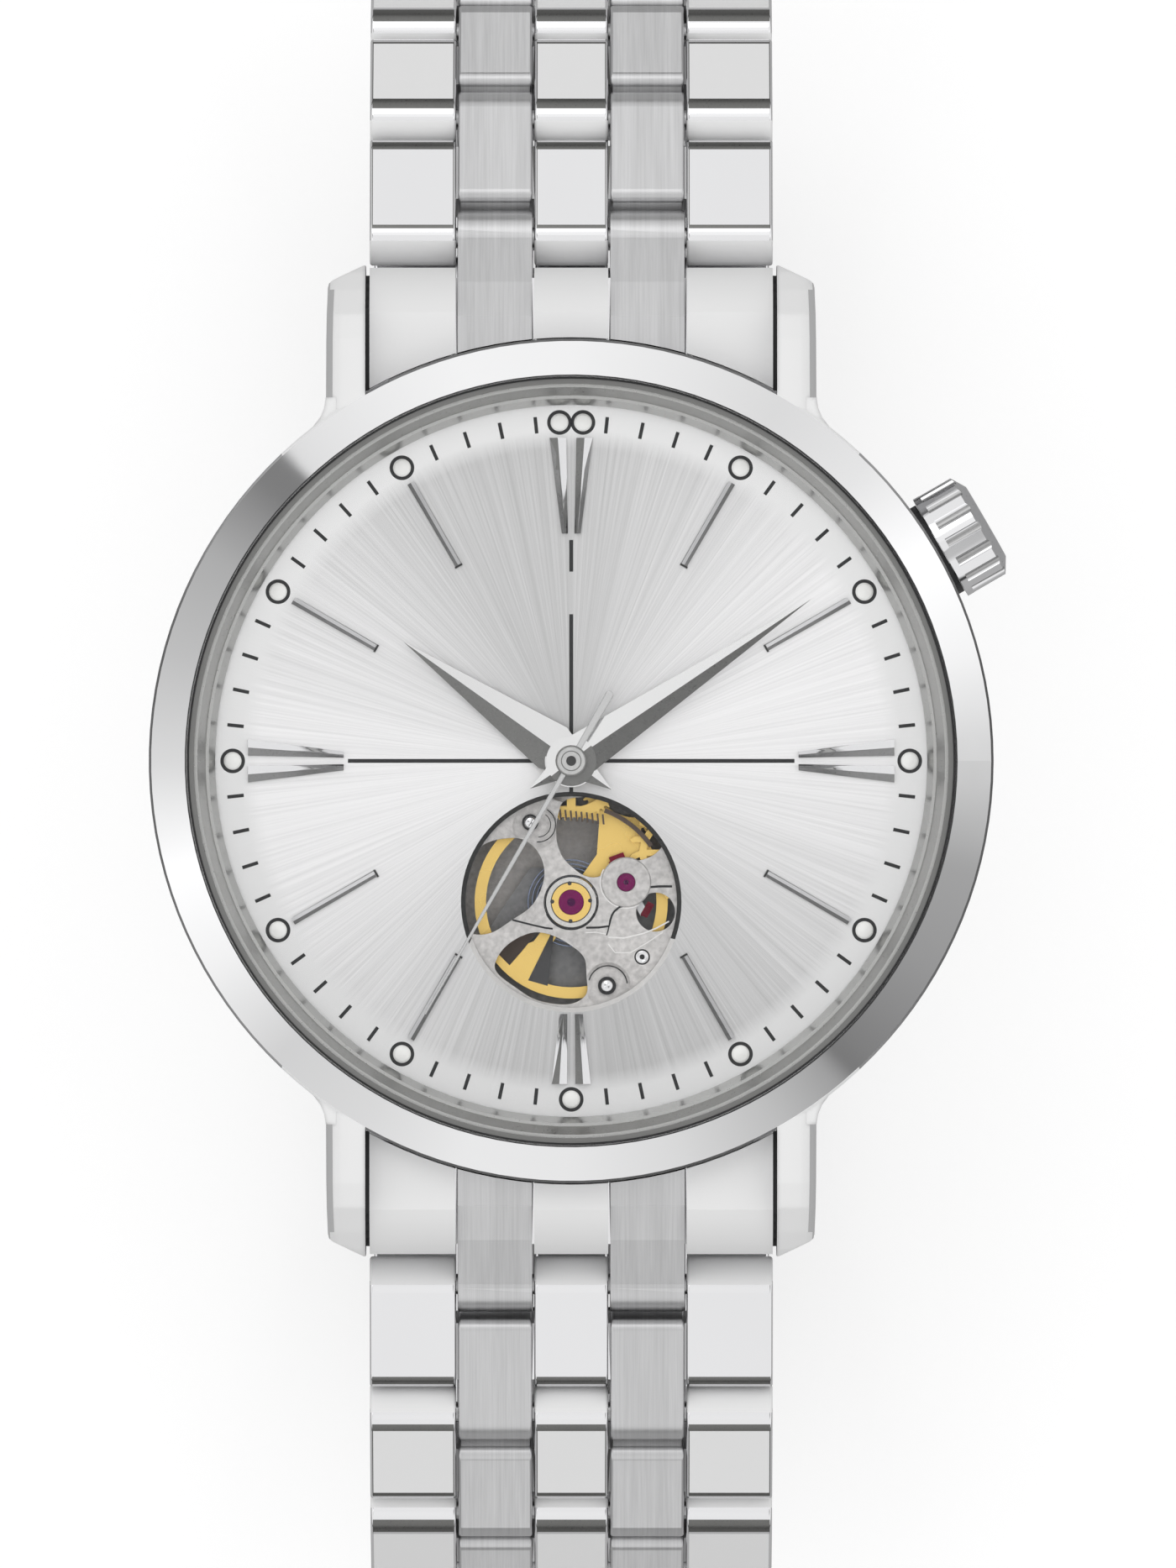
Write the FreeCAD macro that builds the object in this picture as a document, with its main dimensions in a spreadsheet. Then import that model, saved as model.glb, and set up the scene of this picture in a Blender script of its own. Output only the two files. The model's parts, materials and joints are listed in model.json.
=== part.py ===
import FreeCAD, Part
import Sketcher
import math
import os
import re
from FreeCAD import Vector

os.makedirs("parts", exist_ok=True)
doc = FreeCAD.newDocument("skeleton_watch")

# How steeply each link dips below the horizontal, from the case to the clasp.
DIPS_12 = [28, 49, 68, 92, 116, 138, 156, 172]
DIPS_6 = [18, 43, 65, 86, 108, 131, 152, 170]
DROP = round(sum(math.sin(math.radians(dip)) for dip in DIPS_12), 6)

# All sizes in millimetres and degrees. Heights inside the watch head are counted
# from the outer face of the case back; case_lift raises the head above the clasp.
SIZES = [
    ("link_pitch", 6.6, "pivot to pivot along the bracelet"),
    ("link_half_thick", 1.35, "half the thickness of a link"),
    ("link_gap", 0.15, "space between a segment's end and the next link's round end"),
    ("link_end", "link_pitch - link_half_thick - link_gap", "far end of the polished segments"),
    ("link_start", "link_half_thick + link_gap", "near end of the brushed segments"),
    ("link_centre_half", 1.8, "half the centre segment"),
    ("link_brushed", 3.6, "width of a brushed segment"),
    ("link_outer", 4.2, "width of an outer polished segment"),
    ("link_seam", 0.11, "seam between segments"),
    ("pin_radius", 0.5, "link pin"),
    ("end_height", 3.0, "first link pivot above the case back"),
    ("clasp_pivot_height", 3.45, "pivot of the last link above the clasp's flat"),
    ("chain_drop", DROP, "how many pitches the twelve o'clock side comes down"),
    ("case_lift", "link_pitch * chain_drop + clasp_pivot_height - end_height", "case back above the clasp's flat"),
    ("case_radius", 20.5, "outside radius of the case"),
    ("case_low", 1.2, "underside of the case middle"),
    ("case_high", 9.5, "top of the case's straight side"),
    ("bezel_width", 1.85, "polished ring around the crystal"),
    ("bezel_inner_radius", "case_radius - bezel_width", "inner edge of the polished ring"),
    ("bezel_high", 11.0, "top of the polished ring at its inner edge"),
    ("bezel_fall", 0.28, "how far the ring drops outwards"),
    ("crystal_room", 0.35, "room for the seal around the crystal"),
    ("crystal_radius", "bezel_inner_radius - crystal_room", "crystal"),
    ("crystal_low", 10.3, "underside of the crystal"),
    ("crystal_high", 11.6, "top of the crystal"),
    ("flange_seat_radius", "bezel_inner_radius - 0.03", "recess that holds the flange ring"),
    ("dial_ledge", 1.07, "ledge under the flange ring"),
    ("dial_seat_radius", "flange_seat_radius - dial_ledge", "recess that holds the dial"),
    ("dial_low", 8.0, "underside of the dial"),
    ("dial_high", 8.4, "top of the dial"),
    ("dial_radius", "dial_seat_radius - 0.05", "dial"),
    ("dial_bore", 1.05, "hole for the hand pipes"),
    ("flange_inner_radius", "dial_seat_radius - 0.25", "flange ring at the dial"),
    ("cavity_radius", "dial_seat_radius - 0.35", "movement cavity in the case middle"),
    ("ring_outer_radius", "cavity_radius - 0.05", "movement holding ring"),
    ("fit_gap", 0.02, "gap between parts that are pushed together"),
    ("run_gap", 0.04, "running clearance on shafts and pivots"),
    ("window_radius", 5.14, "opening in the dial over the balance"),
    ("window_down", 6.86, "window centre below the dial centre"),
    ("marker_edge", 1.8, "outer end of the hour markers from the dial's edge"),
    ("marker_length", 4.65, "hour marker"),
    ("lug_gap_half", 10.0, "half the space between the lugs"),
    ("lug_width", 1.91, "lug"),
    ("lug_run", 3.6, "how far the lugs run past the case"),
    ("lug_reach", "case_radius + lug_run", "tip of a lug from the dial centre"),
    ("lug_root", "case_radius - 4", "where a lug starts inside the case ring"),
    ("bar_reach", "lug_reach - 1.8", "spring bar from the dial centre"),
    ("bar_height", 4.4, "spring bar above the case back"),
    ("bar_radius", 0.75, "spring bar body"),
    ("bar_tip_radius", 0.42, "spring bar tip"),
    ("end_reach", "lug_reach + 1.4", "first link pivot from the dial centre"),
    ("end_side_gap", 0.2, "gap between an end link and a lug"),
    ("plate_radius", 13.0, "movement main plate"),
    ("plate_low", 6.9, "underside of the main plate"),
    ("plate_high", 7.9, "dial side of the main plate"),
    ("bridge_low", 3.5, "rotor side of the bridges"),
    ("bridge_high", 4.4, "wheel side of the bridges"),
    ("rim_wall", 0.95, "wall of the main plate's rim"),
    ("back_radius", "case_radius - 1.9", "case back flange"),
    ("back_plug_radius", "cavity_radius - 0.1", "case back spigot"),
    ("back_rim", 3.1, "case back between spigot and glass"),
    ("back_window_radius", "back_plug_radius - back_rim", "clear opening in the case back"),
    ("back_glass_radius", "back_window_radius + 0.6", "glass in the case back"),
    ("rotor_radius", 12.4, "winding rotor"),
    ("rotor_weight", 2.8, "width of the rotor's heavy rim"),
    ("rotor_low", 1.9, "underside of the rotor's weight"),
    ("rotor_high", 3.1, "top of the rotor's weight"),
    ("crown_angle", 30.0, "crown direction, anticlockwise from three o'clock"),
    ("crown_height", 6.0, "crown axis above the case back"),
    ("crown_gap", 0.25, "gap between crown and case"),
    ("crown_length", 2.55, "crown"),
    ("crown_inner", "case_radius + crown_gap", "inner end of the crown from the dial centre"),
    ("crown_outer", "crown_inner + crown_length", "outer end of the crown from the dial centre"),
    ("crown_radius", 2.7, "crown"),
    ("crown_flutes", 16, "flutes around the crown"),
    ("tube_radius", 1.4, "case tube outside"),
    ("tube_bore", 0.6, "case tube bore"),
    ("stem_radius", 0.55, "winding stem"),
    ("tooth_gap", 0.03, "play between meshed teeth"),
    ("mesh_gap", 0.01, "added to a centre distance so that teeth run free"),
    ("centre_wheel_radius", 2.84, "pitch radius"),
    ("centre_pinion_radius", 0.92, "pitch radius"),
    ("third_wheel_radius", 2.82, "pitch radius"),
    ("third_pinion_radius", 0.36, "pitch radius"),
    ("fourth_wheel_radius", 2.74, "pitch radius"),
    ("escape_wheel_radius", 2.3, "tips of the escape wheel"),
    ("escape_pinion_radius", 0.27, "pitch radius"),
    ("barrel_radius", 5.93, "pitch radius of the barrel teeth"),
    ("balance_down", 6.87, "balance axis below the dial centre"),
    ("balance_radius", 4.7, "balance rim outside"),
    ("balance_inner_radius", 4.15, "balance rim inside"),
    ("hour_tip", "dial_radius - 7.5", "hour hand"),
    ("hour_half_width", 1.2, "hour hand at its widest"),
    ("minute_tip", "dial_radius - 3.4", "minute hand"),
    ("minute_half_width", 1.02, "minute hand at its widest"),
    ("second_tip", "dial_radius - 3.3", "seconds hand"),
    ("hand_tail", 2.42, "tail of the hour and minute hands"),
    ("second_tail", 3.9, "tail of the seconds hand"),
    ("clasp_half_width", 9.6, "half the clasp cover"),
    ("clasp_length", 34.2, "clasp cover"),
    ("clasp_plate", 1.1, "thickness of the clasp cover and of its side walls"),
    ("blade_length", 25.0, "long blade, pivot to pivot"),
]

sheet = doc.addObject("Spreadsheet::Sheet", "Sizes")
for row, (name, value, note) in enumerate(SIZES, 1):
    sheet.set("A%d" % row, name)
    sheet.set("B%d" % row, "=" + str(value))
    sheet.set("C%d" % row, note)
    sheet.setAlias("B%d" % row, name)
doc.recompute()
NAMES = {name for name, value, note in SIZES}


class Sizes:
    """Reads a named size back from the sheet."""

    def __getattr__(self, name):
        return float(sheet.get(name))


S = Sizes()
gauge = doc.addObject("App::FeaturePython", "Gauge")
gauge.addProperty("App::PropertyFloat", "Reading")


def bound(text):
    """A size expression with the sheet's name put before each size."""
    return re.sub(
        r"[a-z][a-z0-9_]*",
        lambda word: "Sizes." + word.group(0) if word.group(0) in NAMES else word.group(0),
        str(text),
    )


def reading(text):
    """What a size expression comes to."""
    gauge.setExpression("Reading", bound(text))
    gauge.recompute()
    return gauge.Reading


def polygon_sketch(body, plane_role, profiles, circles=(), offset="0"):
    """A sketch of closed polygons and circles, every coordinate bound to the sheet."""
    sketch = body.newObject("Sketcher::SketchObject", body.Name + "_sketch")
    plane = [f for f in body.Origin.OriginFeatures if f.Role == plane_role][0]
    sketch.AttachmentSupport = [(plane, "")]
    sketch.MapMode = "FlatFace"
    sketch.setExpression("AttachmentOffset.Base.z", bound(offset))
    bindings = []
    for profile in profiles:
        first = sketch.GeometryCount
        points = [(reading(a), reading(b)) for a, b in profile]
        count = len(points)
        for i in range(count):
            start = Vector(points[i][0], points[i][1], 0)
            end = Vector(points[(i + 1) % count][0], points[(i + 1) % count][1], 0)
            sketch.addGeometry(Part.LineSegment(start, end))
        rules = []
        for i in range(count):
            rules.append(Sketcher.Constraint("Coincident", first + i, 2, first + (i + 1) % count, 1))
        sketch.addConstraint(rules)
        for i in range(count):
            for rule, value, text in (
                ("DistanceX", points[i][0], profile[i][0]),
                ("DistanceY", points[i][1], profile[i][1]),
            ):
                index = sketch.addConstraint(Sketcher.Constraint(rule, -1, 1, first + i, 1, value))
                bindings.append((index, text))
    for x, y, radius in circles:
        centre = Vector(reading(x), reading(y), 0)
        item = sketch.addGeometry(Part.Circle(centre, Vector(0, 0, 1), reading(radius)))
        for rule, value, text in (("DistanceX", centre.x, x), ("DistanceY", centre.y, y)):
            index = sketch.addConstraint(Sketcher.Constraint(rule, -1, 1, item, 3, value))
            bindings.append((index, text))
        index = sketch.addConstraint(Sketcher.Constraint("Radius", item, reading(radius)))
        bindings.append((index, radius))
    for index, text in bindings:
        name = "size%d" % index
        sketch.renameConstraint(index, name)
        sketch.setExpression("Constraints." + name, bound(text))
    return sketch


def new_body(label):
    body = doc.addObject("PartDesign::Body", label)
    body.Label = label
    return body


def revolved(label, profile):
    """A body turned about Z from a polygon of (radius, height)."""
    body = new_body(label)
    sketch = polygon_sketch(body, "XZ_Plane", [profile])
    turn = body.newObject("PartDesign::Revolution", label + "_turn")
    turn.Profile = sketch
    turn.ReferenceAxis = (sketch, ["V_Axis"])
    turn.Angle = 360
    doc.recompute()
    return body


def padded(label, profiles, low, high, circles=(), plane="XY_Plane", body=None):
    """A body of polygons and circles raised from low to high along its plane's normal."""
    body = body or new_body(label)
    sketch = polygon_sketch(body, plane, profiles, circles, low)
    pad = body.newObject("PartDesign::Pad", label + "_pad")
    pad.Profile = sketch
    pad.setExpression("Length", bound("(%s) - (%s)" % (high, low)))
    doc.recompute()
    return body


def pocketed(body, name, profiles, circles, top, depth):
    """Cuts polygons and circles down into a body from the height top."""
    before = body.Shape.Volume
    sketch = polygon_sketch(body, "XY_Plane", profiles, circles, top)
    cut = body.newObject("PartDesign::Pocket", name)
    cut.Profile = sketch
    cut.setExpression("Length", bound(depth))
    doc.recompute()
    if body.Shape.Volume > before - 1e-6:
        raise RuntimeError(name + " removed nothing")
    return body


def feature(label, shape):
    """A part made by shape functions from the sheet's sizes."""
    item = doc.addObject("Part::Feature", label)
    item.Label = label
    item.Shape = shape.removeSplitter() if len(shape.Solids) == 1 else shape
    return item


def joined(kind, label, items):
    """A boolean of whole objects: MultiFuse, MultiCommon, Compound or Cut."""
    item = doc.addObject("Part::" + kind, label)
    item.Label = label
    if kind == "Cut":
        item.Base = items[0]
        item.Tool = items[1]
    elif kind == "Compound":
        item.Links = items
    else:
        item.Shapes = items
        if hasattr(item, "Refine"):
            item.Refine = True
    doc.recompute()
    return item


def rod(radius, low, high, x=0.0, y=0.0, bore=0.0):
    """A round bar or tube along Z."""
    shape = Part.makeCylinder(radius, high - low, Vector(x, y, low))
    if bore > 0:
        shape = shape.cut(Part.makeCylinder(bore, high - low, Vector(x, y, low)))
    return shape


def prism(points, low, high):
    """A straight-sided solid on a polygon."""
    corners = [Vector(x, y, low) for x, y in points]
    face = Part.Face(Part.makePolygon(corners + corners[:1]))
    return face.extrude(Vector(0, 0, high - low))


def smooth_prism(points, low, high):
    """A solid on a smooth closed outline through the points."""
    curve = Part.BSplineCurve()
    curve.interpolate(Points=[Vector(x, y, low) for x, y in points], PeriodicFlag=True)
    face = Part.Face(Part.Wire(curve.toShape()))
    return face.extrude(Vector(0, 0, high - low))


def polar(radius, degrees):
    return (radius * math.cos(math.radians(degrees)), radius * math.sin(math.radians(degrees)))


def gear(teeth, pitch_radius, low, high, x=0.0, y=0.0, turn=0.0, bore=0.0, ring=0.0, spokes=0):
    """A toothed wheel. A tooth points along turn; ring is the rim's inside radius."""
    teeth = int(round(teeth))
    module = 2 * pitch_radius / teeth
    tip = pitch_radius + 0.85 * module
    root = pitch_radius - 1.1 * module
    step = 360.0 / teeth
    narrow = S.tooth_gap / pitch_radius * 57.3 / 2
    points = []
    for tooth in range(teeth):
        middle = turn + tooth * step
        points.append(polar(root, middle - 0.32 * step + narrow))
        points.append(polar(pitch_radius, middle - 0.25 * step + narrow))
        points.append(polar(tip, middle - 0.1 * step))
        points.append(polar(tip, middle + 0.1 * step))
        points.append(polar(pitch_radius, middle + 0.25 * step - narrow))
        points.append(polar(root, middle + 0.32 * step - narrow))
    shape = prism(points, low, high)
    if ring:
        shape = shape.cut(rod(ring, low, high))
        hub = rod(max(0.22 * pitch_radius, bore + 0.2), low, high)
        arms = [hub]
        half = 0.075 * pitch_radius
        for arm in range(spokes):
            bar = Part.makeBox(ring + 0.1, 2 * half, high - low, Vector(0, -half, low))
            bar.rotate(Vector(0, 0, 0), Vector(0, 0, 1), turn + arm * 360.0 / spokes)
            arms.append(bar)
        shape = shape.multiFuse(arms)
    if bore:
        shape = shape.cut(rod(bore, low - 1, high + 1))
    shape.translate(Vector(x, y, 0))
    return shape


def mesh_turn(leader_turn, leader_teeth, line, teeth):
    """The turn that puts a wheel's gap where the leader's tooth crosses the line of centres."""
    leader_step = 360.0 / leader_teeth
    step = 360.0 / teeth
    off = ((line - leader_turn) / leader_step) % 1.0
    return line + 180.0 + (0.5 + off) * step


def along_crown(shape):
    """Turns a shape built along Z, from the dial centre outwards, to the crown's axis."""
    shape.rotate(Vector(0, 0, 0), Vector(0, 1, 0), 90)
    shape.rotate(Vector(0, 0, 0), Vector(0, 0, 1), S.crown_angle)
    shape.translate(Vector(0, 0, S.crown_height))
    return shape


PARTS = []


def head_part(item):
    """Lists a part of the watch head and lifts it to its height over the clasp."""
    item.setExpression("Placement.Base.z", "Sizes.case_lift")
    PARTS.append(item)
    return item


def fixed_part(item):
    PARTS.append(item)
    return item


# ---------------------------------------------------------------- case
case_ring = revolved("case_ring", [
    ("cavity_radius", "case_low"),
    ("case_radius - 1.4", "case_low"),
    ("case_radius", "case_low + 1.6"),
    ("case_radius", "bezel_high - bezel_fall - 0.12"),
    ("case_radius - 0.12", "bezel_high - bezel_fall"),
    ("bezel_inner_radius + 0.1", "bezel_high"),
    ("bezel_inner_radius", "bezel_high - 0.1"),
    ("bezel_inner_radius", "case_high"),
    ("flange_seat_radius", "case_high"),
    ("flange_seat_radius", "dial_high + fit_gap"),
    ("dial_seat_radius", "dial_high + fit_gap"),
    ("dial_seat_radius", "dial_low"),
    ("cavity_radius", "dial_low"),
])


def lug_section(y, outer, low, high):
    """A lug's cross-section at y: straight inside and a rounded outer top edge."""
    corners = [
        (S.lug_gap_half, low),
        (outer - 0.35, low),
        (outer, low + 0.35),
        (outer, high - 1.0),
        (outer - 0.1, high - 0.55),
        (outer - 0.32, high - 0.24),
        (outer - 0.66, high - 0.06),
        (outer - 1.05, high),
        (S.lug_gap_half, high),
    ]
    points = [Vector(x, y, z) for x, z in corners]
    return Part.makePolygon(points + points[:1])


lug_outer = S.lug_gap_half + S.lug_width
lug_top = S.bezel_high - S.bezel_fall
# Along a lug: distance from its tip, side, underside and top.
LUG_RUN = [
    (S.lug_reach - S.lug_root, 0.0, S.case_low + 0.4, lug_top),
    (3.6, -0.02, S.case_low + 0.2, lug_top),
    (2.4, -0.04, S.case_low + 0.05, lug_top - 0.4),
    (1.2, -0.08, S.case_low + 0.1, S.bar_height + 4.6),
    (0.35, -0.12, S.case_low + 0.5, S.bar_height + 3.3),
    (-0.2, -0.14, S.case_low + 1.4, S.bar_height + 1.9),
]
sections = [lug_section(S.lug_reach - run, lug_outer + side, low, high) for run, side, low, high in LUG_RUN]
lug = Part.makeLoft(sections, True, True)
lug_plan = prism([
    (S.lug_gap_half - 1, S.lug_root - 1),
    (lug_outer + 1, S.lug_root - 1),
    (lug_outer + 1, S.lug_reach - 1.6),
    (lug_outer - 0.07, S.lug_reach - 1.15),
    (lug_outer - 0.14, S.lug_reach - 0.88),
    (lug_outer - 0.34, S.lug_reach - 0.72),
    (S.lug_gap_half + 0.1, S.lug_reach),
    (S.lug_gap_half - 1, S.lug_reach),
], 0, S.bezel_high + 1)
lug = lug.common(lug_plan)
# The hollow of the corner where a lug's outside runs into the round case.
corner_y = math.sqrt(S.case_radius ** 2 - (lug_outer + 0.6) ** 2)
corner = prism([
    (lug_outer - 0.5, corner_y - 1.5),
    (lug_outer + 0.6 - 1.0, corner_y - 1.5),
    (lug_outer + 0.6, corner_y),
    (lug_outer + 0.26, corner_y + 0.46),
    (lug_outer + 0.08, corner_y + 0.9),
    (lug_outer, corner_y + 1.4),
    (lug_outer - 0.5, corner_y + 1.4),
], S.case_low + 1.6, lug_top - 0.12)
lug = lug.fuse(corner).removeSplitter()
lug_set = [lug.mirror(Vector(0, 0, 0), Vector(1, 0, 0)), lug]
lug_set += [one.mirror(Vector(0, 0, 0), Vector(0, 1, 0)) for one in lug_set]
lug_set = [one.cut(rod(S.case_radius - 0.4, 0, S.bezel_high + 2)) for one in lug_set]
lugs = feature("lugs", Part.makeCompound(lug_set))
case_blank = joined("MultiFuse", "case_blank", [case_ring, lugs])
case_cuts = [along_crown(rod(S.tube_radius + S.fit_gap, S.cavity_radius - 2, S.case_radius + 1.5))]
for side in (1, -1):
    hole = Part.makeCylinder(S.bar_tip_radius + S.fit_gap, 2 * (S.lug_gap_half + 0.9))
    hole.rotate(Vector(0, 0, 0), Vector(0, 1, 0), 90)
    hole.translate(Vector(-S.lug_gap_half - 0.9, side * S.bar_reach, S.bar_height))
    case_cuts.append(hole)
case_tools = feature("case_tools", Part.makeCompound(case_cuts))
case_bored = joined("Cut", "case_bored", [case_blank, case_tools])
# The crown's tube is pressed into the case for good, so it is a second solid of the same part.
tube = feature("case_tube", along_crown(rod(
    S.tube_radius, S.cavity_radius + 0.05, S.crown_inner + 0.6, bore=S.tube_bore)))
head_part(joined("Compound", "case_middle", [case_bored, tube]))

head_part(revolved("crystal", [
    ("0", "crystal_low"),
    ("crystal_radius", "crystal_low"),
    ("crystal_radius", "crystal_high - 0.4"),
    ("crystal_radius - 0.4", "crystal_high"),
    ("0", "crystal_high"),
]))
head_part(revolved("crystal_gasket", [
    ("crystal_radius + fit_gap", "crystal_low"),
    ("bezel_inner_radius - fit_gap", "crystal_low"),
    ("bezel_inner_radius - fit_gap", "bezel_high - 0.35"),
    ("crystal_radius + fit_gap", "bezel_high - 0.35"),
]))
head_part(revolved("dial_flange", [
    ("flange_inner_radius", "dial_high + 2 * fit_gap"),
    ("flange_seat_radius - fit_gap", "dial_high + 2 * fit_gap"),
    ("flange_seat_radius - fit_gap", "crystal_low - fit_gap"),
    ("flange_inner_radius + 0.85", "crystal_low - fit_gap"),
    ("flange_inner_radius + 0.45", "crystal_low - 0.6"),
    ("flange_inner_radius + 0.3", "crystal_low - 0.6"),
    ("flange_inner_radius", "dial_high + 0.4"),
]))

# ---------------------------------------------------------------- dial and its furniture
dial = padded("dial", [], "dial_low", "dial_high", [("0", "0", "dial_radius"), ("0", "0", "dial_bore")])
pocketed(dial, "dial_window", [], [("0", "-window_down", "window_radius")], "dial_high", "2")
rim_edges = []
for index, edge in enumerate(dial.Shape.Edges, 1):
    middle = edge.BoundBox.Center
    on_window = abs(middle.y + S.window_down) < 0.01 and abs(edge.BoundBox.XLength / 2 - S.window_radius) < 0.01
    if on_window and abs(middle.z - S.dial_high) < 0.01 and edge.BoundBox.ZLength < 0.001:
        rim_edges.append("Edge%d" % index)
bevel = dial.newObject("PartDesign::Chamfer", "window_bevel")
bevel.Base = (doc.getObject("dial_window"), rim_edges)
bevel.Size = 0.22
dial.Tip = bevel
doc.recompute()
head_part(dial)


def baton(degrees, inner, outer, inner_width, outer_width, across=0.0, height=0.36):
    """An applied hour marker with bevelled flanks; across moves it sideways."""
    wires = []
    for reach, width in ((inner, inner_width), (outer, outer_width)):
        points = [
            Vector(reach, across - width / 2, 0),
            Vector(reach, across + width / 2, 0),
            Vector(reach, across + width / 2, height * 0.45),
            Vector(reach, across, height),
            Vector(reach, across - width / 2, height * 0.45),
        ]
        wires.append(Part.makePolygon(points + points[:1]))
    shape = Part.makeLoft(wires, True, True)
    shape.rotate(Vector(0, 0, 0), Vector(0, 0, 1), degrees)
    shape.translate(Vector(0, 0, S.dial_high))
    return shape


def twin(degrees, inner, outer, inner_total, outer_total, inner_width, outer_width):
    """Two tapered batons side by side."""
    bars = []
    for side in (1, -1):
        wires = []
        for reach, total, width in ((inner, inner_total, inner_width), (outer, outer_total, outer_width)):
            middle = side * (total - width) / 2
            points = [
                Vector(reach, middle - width / 2, 0),
                Vector(reach, middle + width / 2, 0),
                Vector(reach, middle + width / 2, 0.16),
                Vector(reach, middle, 0.36),
                Vector(reach, middle - width / 2, 0.16),
            ]
            wires.append(Part.makePolygon(points + points[:1]))
        shape = Part.makeLoft(wires, True, True)
        shape.rotate(Vector(0, 0, 0), Vector(0, 0, 1), degrees)
        shape.translate(Vector(0, 0, S.dial_high))
        bars.append(shape)
    return bars


markers = []
marker_out = S.dial_radius - S.marker_edge
marker_in = marker_out - S.marker_length
for hour in range(12):
    direction = 90.0 - 30.0 * hour
    if hour in (0, 3, 9):
        markers += twin(direction, marker_in, marker_out, 0.92, 2.1, 0.3, 0.8)
    elif hour == 6:
        markers += twin(direction, S.window_down + S.window_radius + 0.3, marker_out, 1.13, 1.9, 0.38, 0.74)
    else:
        markers.append(baton(direction, marker_in - 0.05, marker_out - 0.1, 0.3, 0.36))
head_part(feature("hour_indices", Part.makeCompound(markers)))


def dauphine(tip, half_width, widest, low, degrees, bore):
    """A kite-shaped hand with a ridge down the middle."""
    edge = low + 0.06
    ridge = low + 0.24
    tail = -S.hand_tail
    base = [
        Vector(tip, 0, low),
        Vector(widest, half_width, low),
        Vector(tail, 0, low),
        Vector(widest, -half_width, low),
    ]
    top = [
        Vector(tip, 0, ridge),
        Vector(widest, half_width, edge),
        Vector(tail, 0, ridge),
        Vector(widest, -half_width, edge),
    ]
    faces = [Part.Face(Part.makePolygon(base + base[:1]))]
    for i in range(4):
        j = (i + 1) % 4
        faces.append(Part.Face(Part.makePolygon([base[i], base[j], top[j], top[i], base[i]])))
    faces.append(Part.Face(Part.makePolygon([top[0], top[1], top[2], top[0]])))
    faces.append(Part.Face(Part.makePolygon([top[0], top[2], top[3], top[0]])))
    shape = Part.Solid(Part.Shell(faces))
    if shape.Volume < 0:
        shape.reverse()
    shape = shape.fuse(rod(bore + 0.35, low, low + 0.16))
    shape = shape.cut(rod(bore, low - 1, low + 1))
    shape.rotate(Vector(0, 0, 0), Vector(0, 0, 1), degrees)
    return shape


HOUR_PIPE = 0.92
MINUTE_PIPE = 0.62
SECOND_SHAFT = 0.2
hour_kite = dauphine(S.hour_tip, S.hour_half_width, 1.1, S.dial_high + 0.45, 144.6, HOUR_PIPE + 0.01)
head_part(feature("hour_hand", hour_kite))
minute_kite = dauphine(S.minute_tip, S.minute_half_width, 0.8, S.dial_high + 0.82, 34.0, MINUTE_PIPE + 0.01)
head_part(feature("minute_hand", minute_kite))
needle = prism([
    (S.second_tip, -0.05),
    (S.second_tip, 0.05),
    (0.0, 0.13),
    (-S.second_tail + 0.2, 0.2),
    (-S.second_tail + 0.2, -0.2),
    (0.0, -0.13),
], S.dial_high + 1.2, S.dial_high + 1.34)
needle = needle.fuse(rod(0.2, S.dial_high + 1.2, S.dial_high + 1.34, -S.second_tail + 0.2, 0))
needle = needle.fuse(rod(0.65, S.dial_high + 1.14, S.dial_high + 1.44))
needle = needle.cut(rod(SECOND_SHAFT + 0.005, S.dial_high, S.dial_high + 1.6))
needle.rotate(Vector(0, 0, 0), Vector(0, 0, 1), 240.0)
head_part(feature("second_hand", needle))

# ---------------------------------------------------------------- movement
def meshed(place, radius, other_radius, degrees):
    """The place of a wheel that meshes with the one at place, in the direction degrees."""
    x, y = polar(radius + other_radius + S.mesh_gap, degrees)
    return (place[0] + x, place[1] + y)


THIRD = meshed((0.0, 0.0), S.centre_wheel_radius, S.third_pinion_radius, -10.1)
FOURTH = meshed(THIRD, S.third_wheel_radius, S.third_pinion_radius, -19.9)
ESCAPE = meshed(FOURTH, S.fourth_wheel_radius, S.escape_pinion_radius, -111.2)
BARREL = meshed((0.0, 0.0), S.centre_pinion_radius, S.barrel_radius, 135.0)
PALLET = (2.67, -5.9)
MINUTE_WHEEL = (0.7, 1.87)
BALANCE = (0.0, -S.balance_down)


def line_between(a, b):
    return math.degrees(math.atan2(b[1] - a[1], b[0] - a[0]))


WINDOW_TOP = [
    (-0.53, -2.2), (-0.72, -3.1), (-0.7, -3.9), (-0.37, -4.74), (0.13, -5.24), (0.72, -5.61),
    (1.47, -5.57), (1.95, -5.12), (3.2, -4.85), (4.22, -4.4), (4.6, -3.6), (3.9, -2.6),
    (2.4, -1.9), (0.6, -1.75),
]
WINDOW_LEFT = [
    (-2.87, -3.74), (-2.03, -3.99), (-1.45, -4.74), (-1.3, -5.49), (-1.53, -6.4), (-2.03, -7.15),
    (-2.87, -7.73), (-4.03, -8.4), (-5.0, -8.3), (-5.4, -7.0), (-5.2, -5.4), (-4.3, -4.1),
]
WINDOW_LOW = [
    (-3.7, -9.82), (-3.2, -9.03), (-2.53, -8.57), (-1.7, -8.33), (-0.7, -8.57), (0.13, -9.07),
    (0.63, -9.57), (0.75, -10.57), (0.75, -11.3), (0.2, -11.75), (-0.8, -11.82), (-1.87, -11.55),
    (-2.87, -10.9),
]
plate = rod(S.plate_radius, S.plate_low, S.plate_high)
plate = plate.fuse(rod(S.plate_radius, S.bridge_high + S.fit_gap, S.plate_low, bore=S.plate_radius - S.rim_wall))
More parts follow.
